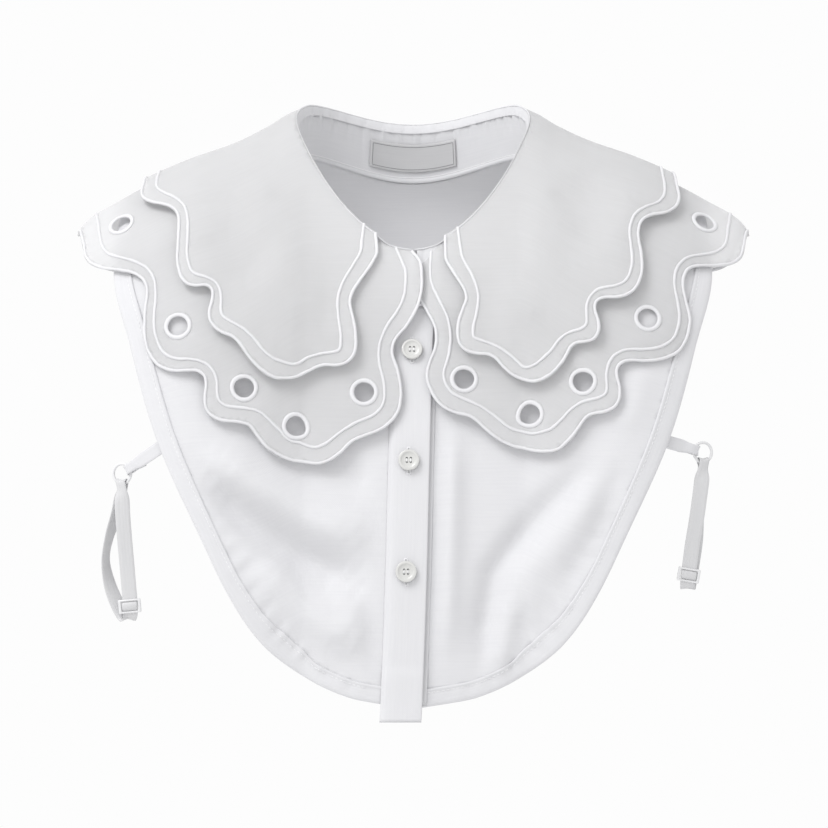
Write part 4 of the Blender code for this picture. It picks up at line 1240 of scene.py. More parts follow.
@dataclass
class Placket:
    """Placket, button band, buttonholes and buttons."""

    bib: Bib
    half_width: float = 11.0
    wall: float = 1.4
    lift: float = 1.6
    top: float = -73.0
    foot: float = -292.0
    band_foot: float = -283.0
    hem_height: float = -262.0
    over_hem: float = 0.8
    wave_rise: float = 0.22
    wave_length: float = 70.0
    hole_half_length: float = 7.2
    button_radius: float = 5.6
    button_height: float = 2.4
    hole_offset: float = 1.05
    hole_radius: float = 0.62
    thread_radius: float = 0.26

    def strip(self, name: str, start: float, end: float,
              sections: Sequence[tuple[float, float, float]], finishes: Finishes,
              node: str) -> Piece:
        """A long strip down the front along the placket's line.

        Args:
            name: Name of the piece.
            start: Height of its top.
            end: Height of its foot.
            sections: Place across, and the lifts of its under and upper face.
            finishes: The garment's finishes.
            node: The CAD node that it stands for.

        Returns:
            The piece.
        """
        heights = np.linspace(start, end, 110)
        over_hem = self.over_hem * ease((self.hem_height - heights) / 7.0)
        wave = self.wave_rise * uneven(heights, self.wave_length, 4.0)
        upper, under = [], []
        for across, low, high in sections:
            flat = BIB.spot(PLACKET_OUT(heights) + across, heights, -1)
            free = ease((across + 2.0) / 10.0)
            upper.append(self.bib.surface(flat, high + over_hem + wave * free))
            under.append(self.bib.surface(flat, low + over_hem + wave * free))
        rings = np.stack([*upper, *reversed(under)], axis=1)
        return swept(name, rings, finishes.poplin, [node])

    def top_surface(self, flat: Flat, lift: float | np.ndarray) -> np.ndarray:
        """Points on the placket's outer face."""
        return self.bib.surface(flat, lift + self.lift + self.wall + 0.2)

    def buttonhole(self, word: str, height: float, finishes: Finishes) -> Piece:
        """A vertical buttonhole edged with close satin stitches."""
        middle = BIB.spot(PLACKET_OUT(height), height, -1)
        turn = circle_turns(72)
        scale = float(np.linalg.norm(BIB.slopes(middle)[1]))
        straight = self.hole_half_length - 1.0
        down = np.clip(np.sin(turn) * 9.0, -1.0, 1.0) * straight + 0.9 * np.sin(turn)
        line = middle + np.stack([0.75 * np.cos(turn), down / scale], -1)
        rings = cord_rings(self.top_surface, line, 0.6, 0.4, 0.3, 8, closed=True)
        return swept(f"buttonhole_{word}", rings, finishes.satin_cord, closed=True)

    def button_master(self) -> Mesh:
        """Model one dished shirt button with four holes, lying at the origin."""
        bpy.ops.mesh.primitive_cylinder_add(
            vertices=56, radius=self.button_radius * MM, depth=self.button_height * MM,
            location=(0.0, 0.0, self.button_height / 2.0 * MM))
        button = bpy.context.object
        bpy.ops.object.transform_apply(location=True, rotation=True, scale=True)
        bpy.ops.object.mode_set(mode="EDIT")
        for inset, sink in ((1.15, 0.0), (0.55, -0.5), (0.5, -0.25)):
            self.select_top(button)
            bpy.ops.mesh.inset(thickness=inset * MM, depth=sink * MM)
        self.select_rims(button)
        bpy.ops.mesh.bevel(offset=0.5 * MM, segments=4, affect="EDGES")
        bpy.ops.object.mode_set(mode="OBJECT")
        at = self.hole_offset
        for x, y in ((-at, -at), (at, -at), (at, at), (-at, at)):
            bpy.ops.mesh.primitive_cylinder_add(
                vertices=20, radius=self.hole_radius * MM, depth=8.0 * MM,
                location=(x * MM, y * MM, 0.0))
            cut_away(button, bpy.context.object)
        select_only(button)
        bpy.ops.object.shade_smooth_by_angle(angle=math.radians(32.0))
        return taken_mesh(button)

    def select_top(self, button: Piece) -> None:
        """Select the highest face that looks up."""
        made = bmesh.from_edit_mesh(button.data)
        bpy.ops.mesh.select_all(action="DESELECT")
        bpy.ops.mesh.select_mode(type="FACE")
        made.faces.ensure_lookup_table()
        up = [face for face in made.faces if face.normal.z > 0.99 and len(face.verts) > 30]
        face = min(up, key=lambda f: f.calc_area())
        face.select_set(True)
        made.faces.active = face
        bmesh.update_edit_mesh(button.data)

    def select_rims(self, button: Piece) -> None:
        """Select the two outer rims of the button."""
        made = bmesh.from_edit_mesh(button.data)
        bpy.ops.mesh.select_all(action="DESELECT")
        bpy.ops.mesh.select_mode(type="EDGE")
        radius = self.button_radius * MM
        for edge in made.edges:
            flat = abs(edge.verts[0].co.z - edge.verts[1].co.z) < 1e-6
            if flat and all(v.co.xy.length > radius * 0.99 for v in edge.verts):
                edge.select_set(True)
        bmesh.update_edit_mesh(button.data)

    def seat(self, height: float) -> Matrix:
        """Placement of a button on the placket."""
        flat = BIB.spot(PLACKET_OUT(height), height, -1)
        spot = self.bib.surface(flat, self.lift + self.wall + 0.65)
        normal = Vector(BIB.normal(flat))
        side = normal.cross(Vector((0.0, 0.0, 1.0))).normalized() * -1.0
        return seated(spot, side, normal.cross(side).normalized(), normal)

    def button(self, word: str, height: float, master: Mesh,
               finishes: Finishes) -> list[Piece]:
        """Place a button and the two threads that sew it on."""
        seat = self.seat(height)
        mesh = master.copy()
        mesh.transform(seat)
        piece = finish_mesh(f"shirt_button_{word}", mesh, finishes.button,
                            [f"button_{word}"])
        axes = np.array(seat)
        at = np.linspace(-1.0, 1.0, 9)
        threads = []
        for number, x in enumerate((-self.hole_offset, self.hole_offset)):
            centre = np.stack([np.full(9, x), at * 1.25, 1.75 - 0.9 * np.abs(at) ** 4], -1)
            rings = np.stack([
                centre + self.thread_radius * np.array([math.cos(t), 0.0, math.sin(t)])
                for t in circle_turns(8)], axis=1)
            placed = rings @ axes[:3, :3].T + axes[:3, 3] / MM
            threads.append(swept(f"button_thread_{word}_{number}", placed, finishes.thread))
        return [piece, *threads]

    def build(self, finishes: Finishes) -> list[Piece]:
        """Make the placket with its buttons and buttonholes.

        Args:
            finishes: The garment's finishes.

        Returns:
            The pieces.
        """
        half, lift = self.half_width, self.lift
        top = lift + self.wall
        placket = self.strip("placket_cloth", self.top, self.foot, [
            (-half, 0.15, 0.5), (-half + 0.5, 0.2, 0.95), (-half + 1.6, 0.5, top - 0.9),
            (-half + 3.4, lift * 0.8, top - 0.15), (-4.0, lift, top + 0.1),
            (0.0, lift + 0.1, top + 0.2), (4.0, lift + 0.3, top + 0.4),
            (half - 2.0, lift + 0.5, top + 0.6), (half - 0.7, lift + 0.7, top + 0.6),
            (half - 0.15, lift + 0.9, top + 0.45), (half, lift + 1.2, top + 0.1),
        ], finishes, "placket")
        band = self.strip("button_band_cloth", self.top - 1.0, self.band_foot, [
            (-7.4, 0.1, 0.6), (0.0, 0.1, 0.75), (half + 1.4, 0.1, 0.85), (half + 2.0, 0.15, 0.75),
            (half + 2.2, 0.3, 0.55),
        ], finishes, "button_band")
        made = [placket, band]
        master = self.button_master()
        for word, height in BUTTON_HEIGHTS.items():
            made.append(self.buttonhole(word, height, finishes))
            made += self.button(word, height, master, finishes)
        bpy.data.meshes.remove(master)
        return made


# The neck band

@dataclass
class NeckBand:
    """Collar stand with its seam, its turned edge and the bare label inside it."""

    wall: float = 1.2
    gap: float = 0.9
    start: float = 0.01 * math.pi
    foot_overlap: float = 0.7
    label_half_width: float = 24.4
    label_span: tuple[float, float] = (0.26, 0.8)
    label_lift: float = 1.0
    label_wall: float = 0.4
    border_half_width: float = 0.22
    border_inset: tuple[float, float] = (0.022, 0.055)
    seam_share: float = 0.965
    stitch_share: float = 0.9
    roll_share: float = 0.06
    gather_rise: float = 0.75
    gather_length: float = 9.0
    gather_reach: float = 0.34
    roll_start: float = 0.012

    def point(self, angle: np.ndarray, share: np.ndarray, inward: np.ndarray) -> np.ndarray:
        """Points on the stand.

        Args:
            angle: Angles round the neck, 0 at the front.
            share: Place down the stand, 0 at its top and 1 at its foot.
            inward: Distance inside its middle.

        Returns:
            Points in millimetres.
        """
        top = COLLAR.place(COLLAR.neck(angle, self.gap + 0.9)) - (0.0, 0.0, 1.4)
        foot = BIB.place(BIB.neck(angle, self.gap)) - (0.0, 0.0, self.foot_overlap)
        spot = top + (foot - top) * share[..., None]
        outward = np.stack([np.sin(angle), -np.cos(angle), np.zeros_like(angle)], -1)
        return spot - outward * inward[..., None]

    def gathers(self, angle: np.ndarray, share: np.ndarray) -> np.ndarray:
        """Small gathers where the collar is sewn to the top of the stand."""
        at = angle * COLLAR.neck_half_width
        near_top = np.exp(-(share / self.gather_reach) ** 2)
        at_sides = 0.45 + 0.75 * np.exp(-((np.abs(angle - math.pi) - 1.02) / 0.3) ** 2)
        soft = 0.25 * uneven(at, 52.0, 3.0) * np.sin(share * math.pi)
        gather = self.gather_rise * uneven(at, self.gather_length, 2.2)
        return gather * near_top * at_sides + soft

    def stand(self, finishes: Finishes) -> Piece:
        """The upright band, with its inner face gathered a little at the top."""
        angles = np.linspace(self.start, 2.0 * math.pi - self.start, 420)
        shares = np.linspace(0.0, 1.0, 16)
        angle, share = np.meshgrid(angles, shares, indexing="ij")
        inner = self.point(angle, share, 0.5 * self.wall + self.gathers(angle, share))
        return grid_sheet("stand_cloth", inner[:, ::-1], self.wall, finishes.poplin,
                          ["collar_stand"])

    def face(self, flat: Flat, lift: float | np.ndarray) -> np.ndarray:
        """Points on the stand's inner face; flat holds the angle and the share down it."""
        inward = 0.5 * self.wall + np.broadcast_to(np.asarray(lift, float), flat.shape[:-1])
        return self.point(flat[..., 0], flat[..., 1], inward)

    def face_strip(self, name: str, share: float, section: Sequence[tuple[float, float]],
                   material: Material) -> Piece:
        """A thin strip round the stand's inner face.

        Args:
            name: Name of the piece.
            share: Place of its middle down the stand.
            section: Rows of the distance down and inwards, in millimetres.
            material: Its material.

        Returns:
            The piece.
        """
        angles = np.linspace(self.start, 2.0 * math.pi - self.start, 360)
        line = np.stack([angles, np.full_like(angles, share)], -1)
        centre = self.face(line, 0.0)
        inward = unit(self.face(line, 1.0) - centre)
        down = unit(self.face(line + (0.0, 0.01), 0.0) - centre)
        rings = np.stack([centre + down * a + inward * b for a, b in section], axis=1)
        return swept(name, rings, material)

    def seam(self, finishes: Finishes) -> list[Piece]:
        """The stand's turned lower edge and the rolled neck edge of the collar."""
        edge = self.face_strip("stand_edge", self.seam_share, (
            (-1.4, -0.2), (-1.1, 0.3), (0.0, 0.5), (1.0, 0.34), (1.3, -0.1), (0.0, -0.4),
        ), finishes.poplin)
        crease = self.face_strip("stand_stitch_line", self.stitch_share, (
            (-0.22, -0.2), (-0.16, 0.14), (0.16, 0.14), (0.22, -0.2),
        ), finishes.thread)
        return [edge, crease, self.roll(finishes)]

    def roll(self, finishes: Finishes) -> Piece:
        """The neck edge: the collar's cloth rolls over and meets the top of the stand."""
        angles = np.linspace(self.roll_start, 2.0 * math.pi - self.roll_start, 460)
        signed = np.where(angles > math.pi, angles - 2.0 * math.pi, angles)
        upper = ease((np.abs(signed) - 0.2) / 0.16)
        over = COLLAR.lifted(COLLAR.neck(angles, 1.0 + 0.5 * upper), 0.4 + 2.55 * upper)
        share = np.full_like(angles, self.roll_share)
        wave = 0.3 * uneven(angles * COLLAR.neck_half_width, 11.0, 6.0)
        inner = self.point(angles, share, 0.5 * self.wall + 0.5 + wave)
        middle = (over + inner) / 2.0
        radial = over - middle
        size = np.linalg.norm(radial, axis=1, keepdims=True)
        up = np.array([0.0, 0.0, 1.0])
        rings = []
        for turns, width, rise, sink in (
                (np.linspace(0.0, math.pi, 11), 1.0, size * 0.4 + 0.15, 0.0),
                (np.linspace(math.pi, 0.0, 6), 0.85, size * 0.3 - 0.15, 0.35)):
            rings += [middle + radial * math.cos(turn) * width
                      + up * (rise * math.sin(turn) - sink) for turn in turns]
        return swept("neck_roll", np.stack(rings, axis=1), finishes.poplin)

    def label(self, finishes: Finishes) -> list[Piece]:
        """A bare woven label with a fine border line, sewn inside the stand."""
        half = math.asin(self.label_half_width / COLLAR.neck_half_width)
        angles = np.linspace(math.pi - half, math.pi + half, 60)
        top, foot = self.label_span
        angle, share = np.meshgrid(angles, np.linspace(top, foot, 18), indexing="ij")
        inner = self.face(np.stack([angle, share], -1), self.label_lift)
        label = grid_sheet("label_cloth", inner[:, ::-1], self.label_wall, finishes.label,
                           ["neck_label"])
        inset, inset_share = self.border_inset
        left, right = angles[0] + inset, angles[-1] - inset
        high, low = top + inset_share, foot - inset_share
        corners = [(left, high), (right, high), (right, low), (left, low)]
        line = np.concatenate([np.linspace(a, b, 30, endpoint=False)
                               for a, b in zip(corners, corners[1:] + corners[:1])])
        rings = cord_rings(raised(self.face, self.label_lift), line, self.border_half_width,
                           0.1, 0.12, 6, closed=True)
        border = swept("label_border", rings, finishes.border, closed=True)
        return [label, border]

    def build(self, finishes: Finishes) -> list[Piece]:
        """Make the neck band.

        Args:
            finishes: The garment's finishes.

        Returns:
            The pieces.
        """
        stand = self.stand(finishes)
        seam = self.seam(finishes)
        label = self.label(finishes)
        return [stand, *seam, *label]


# The straps

BandRow = tuple[float, float, float, float]


@dataclass(frozen=True)
class StrapRoute:
    """Where one side's tab, ring, elastic band and slider lie; twists are in degrees."""

    side: Side
    seam_out: float
    seam_height: float
    ring: tuple[float, float, float]
    band: tuple[BandRow, ...]
    slider: tuple[float, float, float]


LEFT_ROUTE = StrapRoute(
    Side.LEFT, 134.6, -146.4, (155.4, -72.0, -161.2), (
        (150.9, -73.4, -235, 0), (152.3, -73.6, -215, 4), (153.8, -73.7, -198, 6),
        (155.0, -73.7, -182, 3), (155.4, -73.5, -171, 0), (155.4, -70.4, -171, 0),
        (157.6, -68.2, -181, 25), (162.3, -66.6, -194, 55), (164.6, -66.4, -207, 62),
        (162.4, -67.4, -220, 40), (158.0, -69.4, -231, 16), (153.4, -71.2, -238, 4),
    ), (151.2, -73.45, -229.6))
RIGHT_ROUTE = StrapRoute(
    Side.RIGHT, 134.8, -143.2, (154.9, -72.0, -149.8), (
        (146.8, -73.4, -218.3, 0), (149.0, -73.8, -200, -4), (151.6, -74.0, -184, -5),
        (153.8, -73.8, -168, -3), (154.9, -73.5, -159.5, 0), (154.9, -70.4, -159.5, 0),
        (153.6, -68.4, -170, -22), (152.6, -67.2, -182, -32), (151.9, -67.0, -196, -30),
        (149.8, -68.4, -208, -18), (147.2, -71.2, -221.5, -4),
    ), (147.2, -73.5, -213.0))


def smooth_path(points: np.ndarray, closed: bool, per_span: int) -> np.ndarray:
    """Points read from a smooth curve through some points.

    Args:
        points: The points, one row each.
        closed: Whether the curve closes on itself.
        per_span: New points for each span.

    Returns:
        The new points.
    """
    count = len(points)
    path = []
    for i in range(count if closed else count - 1):
        near = [(i + k) % count if closed else min(count - 1, max(0, i + k))
                for k in (-1, 0, 1, 2)]
        a, b, c, d = points[near]
        for t in np.arange(per_span) / per_span:
            path.append(0.5 * (2 * b + (c - a) * t + (2 * a - 5 * b + 4 * c - d) * t * t
                               + (3 * b - a - 3 * c + d) * t ** 3))
    if not closed:
        path.append(points[-1])
    return np.array(path)


@dataclass
class SideStrap:
    """A cloth tab, a coated ring, an elastic band through it and a slider on the band."""

    bib: Bib
    route: StrapRoute
    band_half_width: float = 4.0
    band_wall: float = 0.8
    tab_half_width: float = 2.6
    ring_radius: float = 5.3
    wire_radius: float = 0.8
    gap: float = 0.3
    frame_half_width: float = 6.0
    frame_half_height: float = 3.7
    frame_wall: float = 2.6
    frame_rim: float = 1.0
    frame_play: float = 0.5

    def __post_init__(self) -> None:
        """Work out the ring's place and its three directions."""
        hand = self.route.side.value
        self.middle = np.array(self.route.ring) * (hand, 1.0, 1.0)
        flat = BIB.spot(hand * self.route.seam_out, self.route.seam_height, -1)
        self.under = -(self.bib.hem_wall * 0.8 + self.gap + self.band_wall / 2.0 + 0.35)
        self.seam = self.bib.surface(flat, self.under)
        self.reach = unit(self.seam - self.middle)
        face = unit(np.cross(self.reach, (0.0, 0.0, 1.0)))
        self.face = face if face[1] < 0.0 else -face
        self.width = unit(np.cross(self.face, self.reach))
        self.level = unit(np.cross((0.0, 0.0, 1.0), self.face))
        self.upright = unit(np.cross(self.face, self.level))
        self.turn = self.wire_radius + self.gap + self.band_wall / 2.0 + 0.3

    def bends(self, wire: np.ndarray, beyond: np.ndarray,
              degrees: Sequence[float]) -> list[np.ndarray]:
        """Points of a bend round the wire at some angles from the ring's face."""
        return [wire + self.turn * (self.face * math.cos(angle) + beyond * math.sin(angle))
                for angle in np.radians(degrees)]

    def flat_band(self, name: str, centres: np.ndarray, across: np.ndarray,
                  half_width: np.ndarray, cup: np.ndarray, inward: np.ndarray,
                  material: Material, node: str,
                  closed: bool) -> Piece:
        """A narrow woven band with rounded edges, cupped where it runs through the ring.

        Args:
            name: Name of the piece.
            centres: Points along its middle.
            across: Its sideways direction at each point.
            half_width: Half its width at each point.
            cup: How far it follows the ring's curve there, from 0 to 1.
            inward: Direction in which the cupped edges sink.
            material: Its material.
            node: The CAD node that it stands for.
            closed: Whether it is a loop.

        Returns:
            The piece.
        """
        heading = headings(centres, closed)
        across = unit(across - heading * np.sum(heading * across, axis=1, keepdims=True))
        outside = unit(np.cross(across, heading))
        shares = np.array([-1.0, -0.93, -0.6, 0.0, 0.6, 0.93, 1.0])
        walls = np.array([0.45, 0.95, 1.0, 1.0, 1.0, 0.95, 0.45]) * self.band_wall / 2.0
        edge = half_width[:, None] * shares
        sink = (self.ring_radius - np.sqrt(self.ring_radius ** 2 - edge ** 2)) * cup[:, None]
        spots = centres[:, None] + across[:, None] * edge[..., None] + inward * sink[..., None]
        over = spots + outside[:, None] * walls[None, :, None]
        under = spots - outside[:, None] * walls[None, :, None]
        rings = np.concatenate([over, under[:, ::-1]], axis=1)
        return swept(name, rings, material, [node], closed=closed)

    def tab(self, finishes: Finishes) -> Piece:
        """The folded cloth tab, from behind the hem round the ring and back."""
        start = BIB.spot(self.route.side.value * (self.route.seam_out - 7.5),
                         self.route.seam_height + 4.5, -1)
        wire = self.middle + self.reach * self.ring_radius
        route = [self.bib.surface(start, self.under), self.seam,
                 wire + self.reach * 8.0 + self.face * 0.6,
                 wire + self.reach * 3.0 + self.face * self.turn,
                 *self.bends(wire, -self.reach, np.linspace(0.0, 180.0, 9)),
                 wire + self.reach * 3.0 - self.face * self.turn,
                 wire + self.reach * 9.0 - self.face * (self.turn - 0.35)]
        centres = smooth_path(np.array(route), False, 5)
        cup = ease(1.6 - np.linalg.norm(centres - wire, axis=1) / 6.0)
        half = self.tab_half_width + 0.9 * (1.0 - cup)
        across = np.broadcast_to(self.width, centres.shape)
        return self.flat_band(f"tab_{self.route.side.word}_cloth", centres, across, half, cup,
                              -self.reach, finishes.poplin,
                              f"strap_tab_{self.route.side.word}", False)

    def elastic(self, finishes: Finishes) -> tuple[Piece, np.ndarray]:
        """The elastic band, a long loop that hangs from the ring.

        Args:
            finishes: The garment's finishes.

        Returns:
            The piece and the points along its middle.
        """
        hand = self.route.side.value
        rows = [(hand * out, depth, height, -hand * twist)
                for out, depth, height, twist in self.route.band]
        top = self.middle - self.upright * self.ring_radius
        bends = [np.append(point, 0.0)
                 for point in self.bends(top, self.upright, (0, 35, 90, 145, 180))]
        path = smooth_path(np.array([*rows[:5], *bends, *rows[5:]]), True, 7)
        centres = path[:, :3]
        twist = np.radians(path[:, 3])
        cup = ease(1.6 - np.linalg.norm(centres - top, axis=1) / 6.0)[:, None]
        flat = np.stack([np.cos(twist), np.sin(twist), np.zeros_like(twist)], -1)
        level = self.level if self.level[0] > 0.0 else -self.level
        across = flat * (1.0 - cup) + level * cup
        half = self.band_half_width - 1.2 * cup[:, 0]
        band = self.flat_band(f"elastic_{self.route.side.word}_band", centres, across, half,
                              cup[:, 0], self.upright, finishes.elastic,
                              f"elastic_{self.route.side.word}", True)
        return band, centres

    def ring(self, finishes: Finishes) -> Piece:
        """The nylon-coated wire ring."""
        bpy.ops.mesh.primitive_torus_add(
            major_radius=self.ring_radius * MM, minor_radius=self.wire_radius * MM,
            major_segments=56, minor_segments=14)
        mesh = taken_mesh(bpy.context.object)
        mesh.transform(seated(self.middle, self.level, self.upright, self.face))
        name = self.route.side.word
        return finish_mesh(f"ring_{name}_wire", mesh, finishes.coated_wire,
                           [f"ring_{name}"])

    def slider(self, centres: np.ndarray, finishes: Finishes) -> list[Piece]:
        """The slider, a rounded frame, with the band's end folded round its middle."""
        side = self.route.side
        spot = np.array(self.route.slider) * (side.value, 1.0, 1.0) - (0.0, 0.0, 2.2)
        lean = unit(centres[2] - centres[0])
        across = unit(np.array([1.0, 0.0, 0.0]) - lean * lean[0])
        depth = np.cross(across, lean)
        frame_body = box(2.0 * self.frame_half_width, 2.0 * self.frame_half_height,
                         self.frame_wall)
        cut_away(frame_body, box(2.0 * (self.band_half_width + self.frame_play),
                                 2.0 * (self.frame_half_height - self.frame_rim), 9.0))
        soft = frame_body.modifiers.new("soft edges", "BEVEL")
        soft.width = 0.5 * MM
        soft.segments = 3
        soft.limit_method = "ANGLE"
        apply_modifiers(frame_body)
        mesh = taken_mesh(frame_body)
        tilt = math.radians(-side.value * 4.0)
        seat = seated(spot, across, lean, depth) @ Matrix.Rotation(tilt, 4, "Z")
        mesh.transform(seat)
        frame_piece = finish_mesh(f"slider_{side.word}_frame", mesh, finishes.coated_wire,
                                  [f"slider_{side.word}"])
        around = circle_turns(20)
        oval = np.stack([np.sign(np.cos(around)) * np.abs(np.cos(around)) ** 0.8 * 2.5,
                         np.sin(around) * 1.75], -1)
        shares = (-1.0, -0.96, -0.85, 0.0, 0.85, 0.96, 1.0)
        sizes = (0.7, 0.9, 1.0, 1.0, 1.0, 0.9, 0.7)
        rings = np.array([[(x * (self.band_half_width + 0.1), y * size, z * size)
                           for y, z in oval] for x, size in zip(shares, sizes)])
        placed = rings @ np.array(seat.to_3x3()).T + spot
        fold = swept(f"elastic_{side.word}_fold", placed, finishes.elastic)
        return [frame_piece, fold]

    def build(self, finishes: Finishes) -> list[Piece]:
        """Make the strap's pieces."""
        tab = self.tab(finishes)
        ring = self.ring(finishes)
        band, centres = self.elastic(finishes)
        return [tab, ring, band, *self.slider(centres, finishes)]


# The collar

Corner = tuple[float, float, float]
LOWER_LEFT_FRONT: tuple[Corner, ...] = (
    (-5.6, -47.7, 11), (-5.6, -74.0, 18), (12.3, -92.4, 6), (-2.5, -132.7, 14),
    (31, -142.7, 14), (60, -175.5, 24), (88.6, -133.5, 11), (113.5, -132.7, 10),
    (109.2, -106, 6), (149, -112, 20), (142, -56, 9), (176.5, -50.4, 11),
)
LOWER_RIGHT_FRONT: tuple[Corner, ...] = (
    (-0.5, -60.1, 16), (13.9, -87.1, 7.5), (5.9, -106.9, 10), (11, -127.5, 16),
    (31.4, -130.8, 11), (66.8, -171, 18), (92.9, -129.8, 10), (114.2, -127, 10),
    (106.4, -101, 6), (146.5, -104.5, 20), (149.3, -77.9, 11), (142.3, -50.8, 8),
    (177.5, -50.3, 11),
)
UPPER_LEFT_FRONT: tuple[Corner, ...] = (
    (18.3, -45.5, 8), (34.2, -68.2, 8), (22.9, -107.1, 14), (49, -104.5, 11),
    (71.5, -126, 18), (95.4, -90, 8), (111.8, -84.2, 8.5), (105.4, -61.3, 5),
    (127, -65.2, 10), (125.5, -21.5, 8), (147, -18, 8),
)
UPPER_RIGHT_FRONT: tuple[Corner, ...] = (
    (16.6, -47.7, 6.6), (28.9, -66.6, 6), (15.3, -98.5, 15), (42.1, -98.9, 11),
    (65.3, -132, 18), (86.3, -93, 8), (103.4, -91.2, 9), (95.3, -68.9, 5),
    (127.4, -70.4, 14), (119.2, -27.2, 8), (144.3, -22.9, 9),
)
LOWER_BACK: tuple[Corner, ...] = (
    (177, -50, 11), (144, -52, 8), (146, -98, 14), (111, -97, 6), (104, -124, 14),
    (62, -112, 10), (42, -136, 14), (14, -116, 8), (7, -124, 8),
)
UPPER_BACK: tuple[Corner, ...] = (
    (145, -20, 7), (124, -19, 6.6), (124, -58, 10), (100, -58, 6), (92, -84, 11),
    (58, -75, 8), (38, -95, 12), (14, -80, 8), (7, -86, 8),
)
EYELETS_LEFT = (
    (158, -26.5), (125.4, -82.3), (89.8, -115.4), (62.2, -135.6), (26.1, -117.5),
    (75.7, -11.4), (64.6, -80.6), (110.7, -36.3),
)
EYELETS_RIGHT = (
    (158, -25.5), (125.4, -78.0), (90.4, -112.2), (62.2, -129.2), (27.2, -110.6),
    (77.3, -11.4), (66.8, -77.4), (111.3, -34.6),
)
EYELETS_BACK = ((156, -30), (128, -76), (88, -100), (42, -112))

LOWER_CORD_INSET = Profile((0, 60, 110, 145, 185), (9.2, 9.0, 7.2, 5.9, 10.0))
UPPER_CORD_INSET = Profile((18, 70, 108, 125, 146), (8.9, 7.0, 6.3, 5.6, 8.4))


class Tier(Enum):
    """The two layers of the collar."""

    LOWER = "lower"
    UPPER = "upper"


